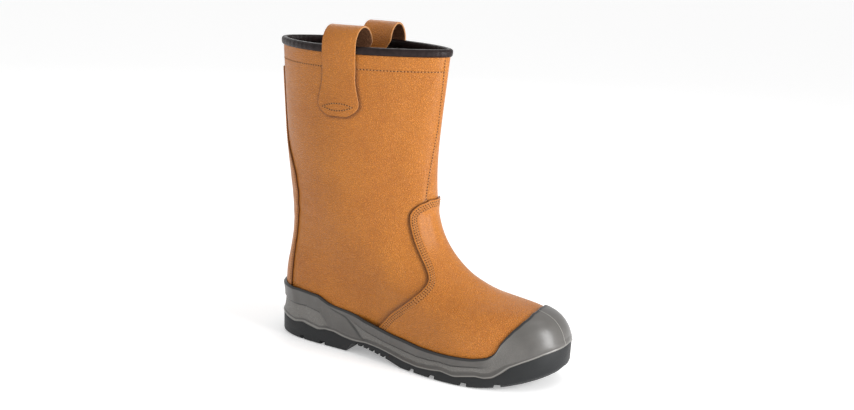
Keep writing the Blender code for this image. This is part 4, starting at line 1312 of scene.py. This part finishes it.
def shifted_line(levels, turns, distance, inward):
    """A line on the form moved sideways by a distance in metres."""
    step = SURFACE_STEP
    high, low = np.clip(levels + step, 0, 1), np.clip(levels - step, 0, 1)
    by_level = (form_points(high, turns) - form_points(low, turns)) / (high - low)[:, None]
    by_turn = (form_points(levels, turns + step) - form_points(levels, turns - step)) / (2.0 * step)
    tangent = unit(smoothed(np.gradient(form_points(levels, turns), axis=0), 6))
    side = np.cross(unit(np.cross(by_turn, by_level)), tangent) * inward
    aa, bb = (by_level ** 2).sum(1), (by_turn ** 2).sum(1)
    ab = (by_level * by_turn).sum(1)
    ra, rb = (side * by_level).sum(1) * distance, (side * by_turn).sum(1) * distance
    determinant = aa * bb - ab * ab
    new_levels = levels + (ra * bb - rb * ab) / determinant
    new_turns = turns + (rb * aa - ra * ab) / determinant
    return smoothed(np.stack([new_levels, new_turns], axis=-1), 8)


def stitch_frames(line, offset, pitch):
    """Ends of the stitches on a line of levels and turns, and the way up at each."""
    points = form_points(line[:, 0], np.mod(line[:, 1], 2.0))
    spots = resample(line, even_steps(points, pitch))
    level, turn = spots[:, 0], np.mod(spots[:, 1], 2.0)
    return leather_points(level, turn, offset), form_normals(level, turn)


def circle_points(centre, first, second, radius, count):
    """Rings of points about the centres, in the plane of two directions."""
    angles = np.linspace(0.0, 2.0 * math.pi, count, endpoint=False)
    return np.stack([centre + (first * math.cos(a) + second * math.sin(a)) * radius for a in angles], axis=1)


def joined_piece(name, groups, material):
    """One mesh of many small closed tubes; a group counts tubes, rings and corners."""
    points, quads, start = [], [], 0
    for group in groups:
        count, rows, columns = group.shape[:3]
        j = np.arange(columns // 2 - 1)
        one = np.concatenate([
            grid_quads(rows, columns, True),
            np.stack([j, columns - 1 - j, columns - 2 - j, j + 1], axis=-1),
            lid_quads((rows - 1) * columns, columns, False),
        ])
        starts = start + np.arange(count) * rows * columns
        points.append(group.reshape(-1, 3))
        quads.append((one[None] + starts[:, None, None]).reshape(-1, 4))
        start += count * rows * columns
    make_piece(name, np.concatenate(points), np.concatenate(quads), [material])


def build_stitches(seam_rows):
    """All stitches as one piece and all needle holes as another."""
    radius, length_share = sizes().thread_size * 0.5, 0.62
    hole_radius = sizes().thread_size * HOLE_SHARE
    threads, holes = [], []
    for on, up in seam_rows:
        start, end = on[:-1], on[1:]
        length = np.linalg.norm(end - start, axis=1, keepdims=True)
        along = (end - start) / length
        lift = 0.5 * (up[:-1] + up[1:])
        lift = unit(lift - along * (lift * along).sum(1, keepdims=True))
        across = np.cross(along, lift)
        circles = []
        for place, size, height in THREAD_RINGS:
            centre = 0.5 * (start + end) + along * (place * length * length_share) + lift * (height * radius)
            circles.append(circle_points(centre, across, lift * 0.8, size * radius, 6))
        threads.append(np.stack(circles, axis=1))
        along = np.vstack([along, along[-1:]])
        across = np.cross(along, up)
        circles = [circle_points(on + up * height, across, along, size * hole_radius, 8)
                   for size, height in HOLE_RINGS]
        holes.append(np.stack(circles, axis=1))
    joined_piece("seam_thread", threads, sewing_thread())
    joined_piece("seam_holes", holes, needle_hole_shade())


def vamp_seam_lines():
    """Lines of levels and turns for the stitch rows inside the vamp's edge."""
    levels = np.linspace(0.012, VAMP_TOP, 260)
    limit = vamp_limit(levels)
    over = np.linspace(limit[-1], 2.0 - limit[-1], 42)[1:-1]
    line_levels = np.concatenate([levels, np.full(40, VAMP_TOP), levels[::-1]])
    line_turns = np.concatenate([limit, over, 2.0 - limit[::-1]])
    places = even_steps(form_points(line_levels, line_turns), 0.001)
    both = smoothed(resample(np.stack([line_levels, line_turns], axis=-1), places), 10)
    return [shifted_line(both[:, 0], both[:, 1], distance, -1.0) for distance in VAMP_ROWS]


def build_seams():
    s = sizes()
    rows = []
    vamp_height = PATCH_GAP + s.vamp_wall - 0.00012
    for line in vamp_seam_lines():
        rows.append(stitch_frames(line, vamp_height, s.stitch_pitch))
    turns = np.linspace(0.0, 2.0, 700)
    collar = np.stack([np.full_like(turns, COLLAR_ROW_LEVEL), turns], axis=-1)
    rows.append(stitch_frames(collar, -0.00014, s.stitch_pitch * 1.25))
    seam_levels = np.linspace(VAMP_TOP + 0.003, 0.972, 210)
    seam = np.stack([seam_levels, straight_line(FRONT_SEAM, seam_levels)], axis=-1)
    rows.append(stitch_frames(seam, -0.00014, s.stitch_pitch * 1.1))
    back_levels = np.linspace(0.09, BACKSTAY_TOP - 0.008, 260)
    for side in (1.0, -1.0):
        line = shifted_line(back_levels, backstay_limit(back_levels), BACKSTAY_SEAM[0], 1.0)
        line[:, 1] = np.where(side > 0.0, line[:, 1], 2.0 - line[:, 1])
        rows.append(stitch_frames(line, PATCH_GAP + s.backstay_wall - 0.00012, s.stitch_pitch))
    build_stitches(rows + loop_seam_rows())


def loop_seam_rows():
    """The lens of stitches that holds each pull loop's tip."""
    rows = []
    s = sizes()
    height = GAP + s.strap_wall + 0.00002
    for side in (-1.0, 1.0):
        for bow in (0.0036, -0.0036):
            t = np.linspace(-1.0, 1.0, 40)
            level = 0.8200 + bow * (1.0 - t * t) / LEVEL_SPAN + 0.0006 * t / LEVEL_SPAN
            x = STRAP_CENTRE + t * 0.0150
            points, ahead = (
                np.array([wall_row(float(a), np.array([b]), offset, side)[0] for a, b in zip(level, x)])
                for offset in (height, height + 0.001)
            )
            places = even_steps(points, s.stitch_pitch)
            rows.append((resample(points, places), unit(resample(ahead - points, places))))
    return rows


# stage

def look_matrix(azimuth, elevation, roll, distance, target):
    a, e, r = (math.radians(v) for v in (azimuth, elevation, roll))
    back = Vector((math.sin(a) * math.cos(e), -math.cos(a) * math.cos(e), math.sin(e)))
    right = Vector((math.cos(a), math.sin(a), 0.0))
    up = back.cross(right)
    right, up = right * math.cos(r) + up * math.sin(r), up * math.cos(r) - right * math.sin(r)
    spot = Vector(target) + back * distance
    turned = Matrix((right, up, back)).transposed().to_4x4()
    turned.translation = spot
    return turned


LIGHTS = (
    # name, azimuth, elevation, distance, width, height, power
    ("key_softbox", 84.0, 14.0, 1.3, 0.4, 0.9, 15.5),
    ("fill_softbox", -20.0, 30.0, 1.9, 1.0, 1.0, 1.5),
    ("top_softbox", 100.0, 60.0, 1.5, 0.4, 0.4, 1.2),
    ("rim_softbox", 215.0, 35.0, 1.6, 0.6, 1.0, 3.0),
)


def build_stage():
    scene = bpy.context.scene
    camera = bpy.data.objects.new("camera", bpy.data.cameras.new("camera"))
    scene.collection.objects.link(camera)
    camera.data.sensor_fit = "HORIZONTAL"
    camera.data.sensor_width = 36.0
    camera.data.lens = 48.62
    camera.data.clip_start = 0.05
    camera.matrix_world = look_matrix(26.915, 14.084, 2.948, 1.0987, (0.1096, 0.0, 0.1504))
    scene.camera = camera
    for name, azimuth, elevation, distance, width, height, power in LIGHTS:
        light = bpy.data.lights.new(name, "AREA")
        light.shape = "RECTANGLE"
        light.size, light.size_y = width, height
        light.energy = power
        lamp = bpy.data.objects.new(name, light)
        lamp.matrix_world = look_matrix(azimuth, elevation, 0.0, distance, (0.10, 0.0, 0.13))
        scene.collection.objects.link(lamp)
    world = bpy.data.worlds.new("studio")
    world.use_nodes = True
    world.node_tree.nodes["Background"].inputs["Color"].default_value = (1.0, 1.0, 1.0, 1.0)
    world.node_tree.nodes["Background"].inputs["Strength"].default_value = 0.72
    scene.world = world
    scene.view_settings.view_transform = "Standard"
    mesh = bpy.data.meshes.new("studio_floor")
    reach = 40.0
    mesh.from_pydata([(-reach, -reach, 0), (reach, -reach, 0), (reach, reach, 0), (-reach, reach, 0)], [],
                     [(0, 1, 2, 3)])
    floor = bpy.data.objects.new("studio_floor", mesh)
    material = bpy.data.materials.new("pale_floor")
    material.use_nodes = True
    shader = material.node_tree.nodes["Principled BSDF"]
    shader.inputs["Base Color"].default_value = (0.93, 0.93, 0.93, 1.0)
    shader.inputs["Roughness"].default_value = 0.9
    shader.inputs["Specular IOR Level"].default_value = 0.1
    shader.inputs["Emission Color"].default_value = (1.0, 1.0, 1.0, 1.0)
    shader.inputs["Emission Strength"].default_value = 0.29
    mesh.materials.append(material)
    scene.collection.objects.link(floor)


# add-on

def length(name, text, default, low, high):
    return FloatProperty(name=name, description=text, default=default, min=low, max=high,
                         unit="LENGTH", precision=5)


def tint(name, text, default):
    return FloatVectorProperty(name=name, description=text, default=default, size=3, min=0.0, max=1.0,
                               subtype="COLOR")


class BootSizes(bpy.types.PropertyGroup):
    """Sizes that a user may change."""

    upper_wall: length("Shaft wall", "Thickness of the shaft with its lining", 0.0024, 0.001, 0.004)
    vamp_wall: length("Vamp wall", "Thickness of the vamp's leather", 0.0018, 0.001, 0.003)
    backstay_wall: length("Backstay wall", "Thickness of the back strip", 0.0012, 0.0008, 0.002)
    binding_wall: length("Binding wall", "Thickness of the collar's binding", 0.0011, 0.0006, 0.002)
    binding_drop: length("Binding drop", "How far the binding reaches down the shaft", 0.0052, 0.003, 0.01)
    strap_wall: length("Strap wall", "Thickness of the pull loops", 0.0021, 0.0012, 0.003)
    strap_width: length("Strap width", "Width of the pull loops over the collar", 0.033, 0.02, 0.045)
    stitch_pitch: length("Stitch pitch", "Distance from stitch to stitch", 0.0025, 0.0015, 0.004)
    thread_size: length("Thread size", "Thickness of the sewing thread", 0.0009, 0.0004, 0.0014)
    grain_size: length("Grain size", "Width of one pebble of the leather's grain", 0.0019, 0.0005, 0.003)
    fold_depth: FloatProperty(name="Fold depth", description="Strength of the leather's soft creases",
                              default=1.0, min=0.0, max=2.0, subtype="FACTOR")


class BootColours(bpy.types.PropertyGroup):
    """Colours that a user may change."""

    leather: tint("Leather", "Tan of the leather", (0.545, 0.183, 0.017))
    leather_deep: tint("Deep leather", "Browner patches of the leather", (0.455, 0.142, 0.012))
    leather_light: tint("Light leather", "Rubbed high spots of the leather", (0.640, 0.245, 0.036))
    leather_dark: tint("Dark leather", "Valleys of the grain", (0.190, 0.055, 0.008))
    # painted shade: the dark of the shade below, along and under the edges of the leather pieces
    painted_edge_shade: tint("Painted edge shade", "Painted shade along and under the leather pieces' edges", (0.070, 0.022, 0.010))
    suede: tint("Suede", "Flesh side of the pull loops", (0.340, 0.160, 0.082))
    suede_dark: tint("Dark suede", "Nap of the flesh side in shade", (0.060, 0.024, 0.013))
    cut_edge: tint("Cut edge", "Raw edge of the pull loops", (0.620, 0.330, 0.150))
    cut_edge_dark: tint("Dark cut edge", "Fibres of the raw edge", (0.330, 0.150, 0.060))
    lining: tint("Lining", "Brushed lining cloth", (0.012, 0.009, 0.009))
    lining_light: tint("Light lining", "Tips of the lining's nap", (0.055, 0.042, 0.040))
    binding: tint("Binding", "Collar binding", (0.010, 0.006, 0.006))
    binding_light: tint("Light binding", "Raised places of the binding", (0.022, 0.013, 0.013))
    grey: tint("Grey", "Moulded midsole and cap", (0.104, 0.098, 0.091))
    grey_deep: tint("Deep grey", "Darker places of the midsole", (0.076, 0.072, 0.067))
    # rubbed spots of the midsole, and also the painted highlights of its lip and flash line
    grey_rub_and_highlight: tint("Light grey", "Rubbed spots and painted highlights of the midsole", (0.300, 0.290, 0.270))
    rubber: tint("Rubber", "Tread rubber", (0.010, 0.011, 0.012))
    rubber_dusty: tint("Dusty rubber", "Dusty places of the tread", (0.019, 0.020, 0.021))
    thread: tint("Thread", "Sewing thread", (0.560, 0.270, 0.090))
    thread_dark: tint("Dark thread", "Turns of the thread in shade", (0.330, 0.140, 0.040))
    hole: tint("Needle holes", "Needle holes and their shade", (0.075, 0.026, 0.010))


class AddStage(bpy.types.Operator):
    """Add the camera, lights and floor"""

    bl_idname = "boot.add_stage"
    bl_label = "Stage"

    def execute(self, context):
        build_stage()
        return {"FINISHED"}


class AddShaft(bpy.types.Operator):
    """Add the shaft's leather and its lining"""

    bl_idname = "boot.add_shaft"
    bl_label = "Shaft"

    def execute(self, context):
        build_shaft()
        return {"FINISHED"}


class AddVamp(bpy.types.Operator):
    """Add the vamp over the front of the foot"""

    bl_idname = "boot.add_vamp"
    bl_label = "Vamp"

    def execute(self, context):
        build_vamp()
        return {"FINISHED"}


class AddBackstay(bpy.types.Operator):
    """Add the strip over the back seam"""

    bl_idname = "boot.add_backstay"
    bl_label = "Backstay"

    def execute(self, context):
        build_backstay()
        return {"FINISHED"}


class AddBinding(bpy.types.Operator):
    """Add the rolled binding of the collar"""

    bl_idname = "boot.add_binding"
    bl_label = "Collar binding"

    def execute(self, context):
        build_binding()
        return {"FINISHED"}


class AddPullLoops(bpy.types.Operator):
    """Add the two pull loops"""

    bl_idname = "boot.add_pull_loops"
    bl_label = "Pull loops"

    def execute(self, context):
        build_pull_loop("outer_pull_loop", -1.0, ("pull_loop_lateral",))
        build_pull_loop("inner_pull_loop", 1.0, ("pull_loop_medial",))
        return {"FINISHED"}


class AddMidsole(bpy.types.Operator):
    """Add the moulded midsole with its scuff cap"""

    bl_idname = "boot.add_midsole"
    bl_label = "Midsole"

    def execute(self, context):
        build_midsole()
        build_flash_line()
        return {"FINISHED"}


class AddOutsole(bpy.types.Operator):
    """Add the lugged outsole"""

    bl_idname = "boot.add_outsole"
    bl_label = "Outsole"

    def execute(self, context):
        build_outsole()
        return {"FINISHED"}


class AddInsole(bpy.types.Operator):
    """Add the foot bed"""

    bl_idname = "boot.add_insole"
    bl_label = "Insole"

    def execute(self, context):
        build_insole()
        return {"FINISHED"}


class AddSeams(bpy.types.Operator):
    """Add the stitches and their needle holes"""

    bl_idname = "boot.add_seams"
    bl_label = "Seams"

    def execute(self, context):
        build_seams()
        return {"FINISHED"}


PIECE_OPERATORS = (
    AddStage, AddShaft, AddVamp, AddBackstay, AddBinding, AddPullLoops, AddMidsole, AddOutsole,
    AddInsole, AddSeams,
)


class BootPanel(bpy.types.Panel):
    """Sizes, colours and pieces of the boot"""

    bl_idname = "VIEW3D_PT_boot"
    bl_label = "Rigger boot"
    bl_space_type = "VIEW_3D"
    bl_region_type = "UI"
    bl_category = "Boot"

    def draw(self, context):
        for operator in PIECE_OPERATORS:
            self.layout.operator(operator.bl_idname)
        for group in (context.scene.boot_sizes, context.scene.boot_colours):
            box = self.layout.box()
            for key in group.bl_rna.properties.keys():
                if key not in ("rna_type", "name"):
                    box.prop(group, key)


CLASSES = (BootSizes, BootColours) + PIECE_OPERATORS + (BootPanel,)


def register():
    for item in CLASSES:
        bpy.utils.register_class(item)
    bpy.types.Scene.boot_sizes = PointerProperty(type=BootSizes)
    bpy.types.Scene.boot_colours = PointerProperty(type=BootColours)


def unregister():
    del bpy.types.Scene.boot_colours
    del bpy.types.Scene.boot_sizes
    for item in reversed(CLASSES):
        bpy.utils.unregister_class(item)


def main():
    register()
    bpy.ops.boot.add_stage()
    bpy.ops.boot.add_shaft()
    bpy.ops.boot.add_vamp()
    bpy.ops.boot.add_backstay()
    bpy.ops.boot.add_binding()
    bpy.ops.boot.add_pull_loops()
    bpy.ops.boot.add_midsole()
    bpy.ops.boot.add_outsole()
    bpy.ops.boot.add_insole()
    bpy.ops.boot.add_seams()


if __name__ == "__main__":
    main()
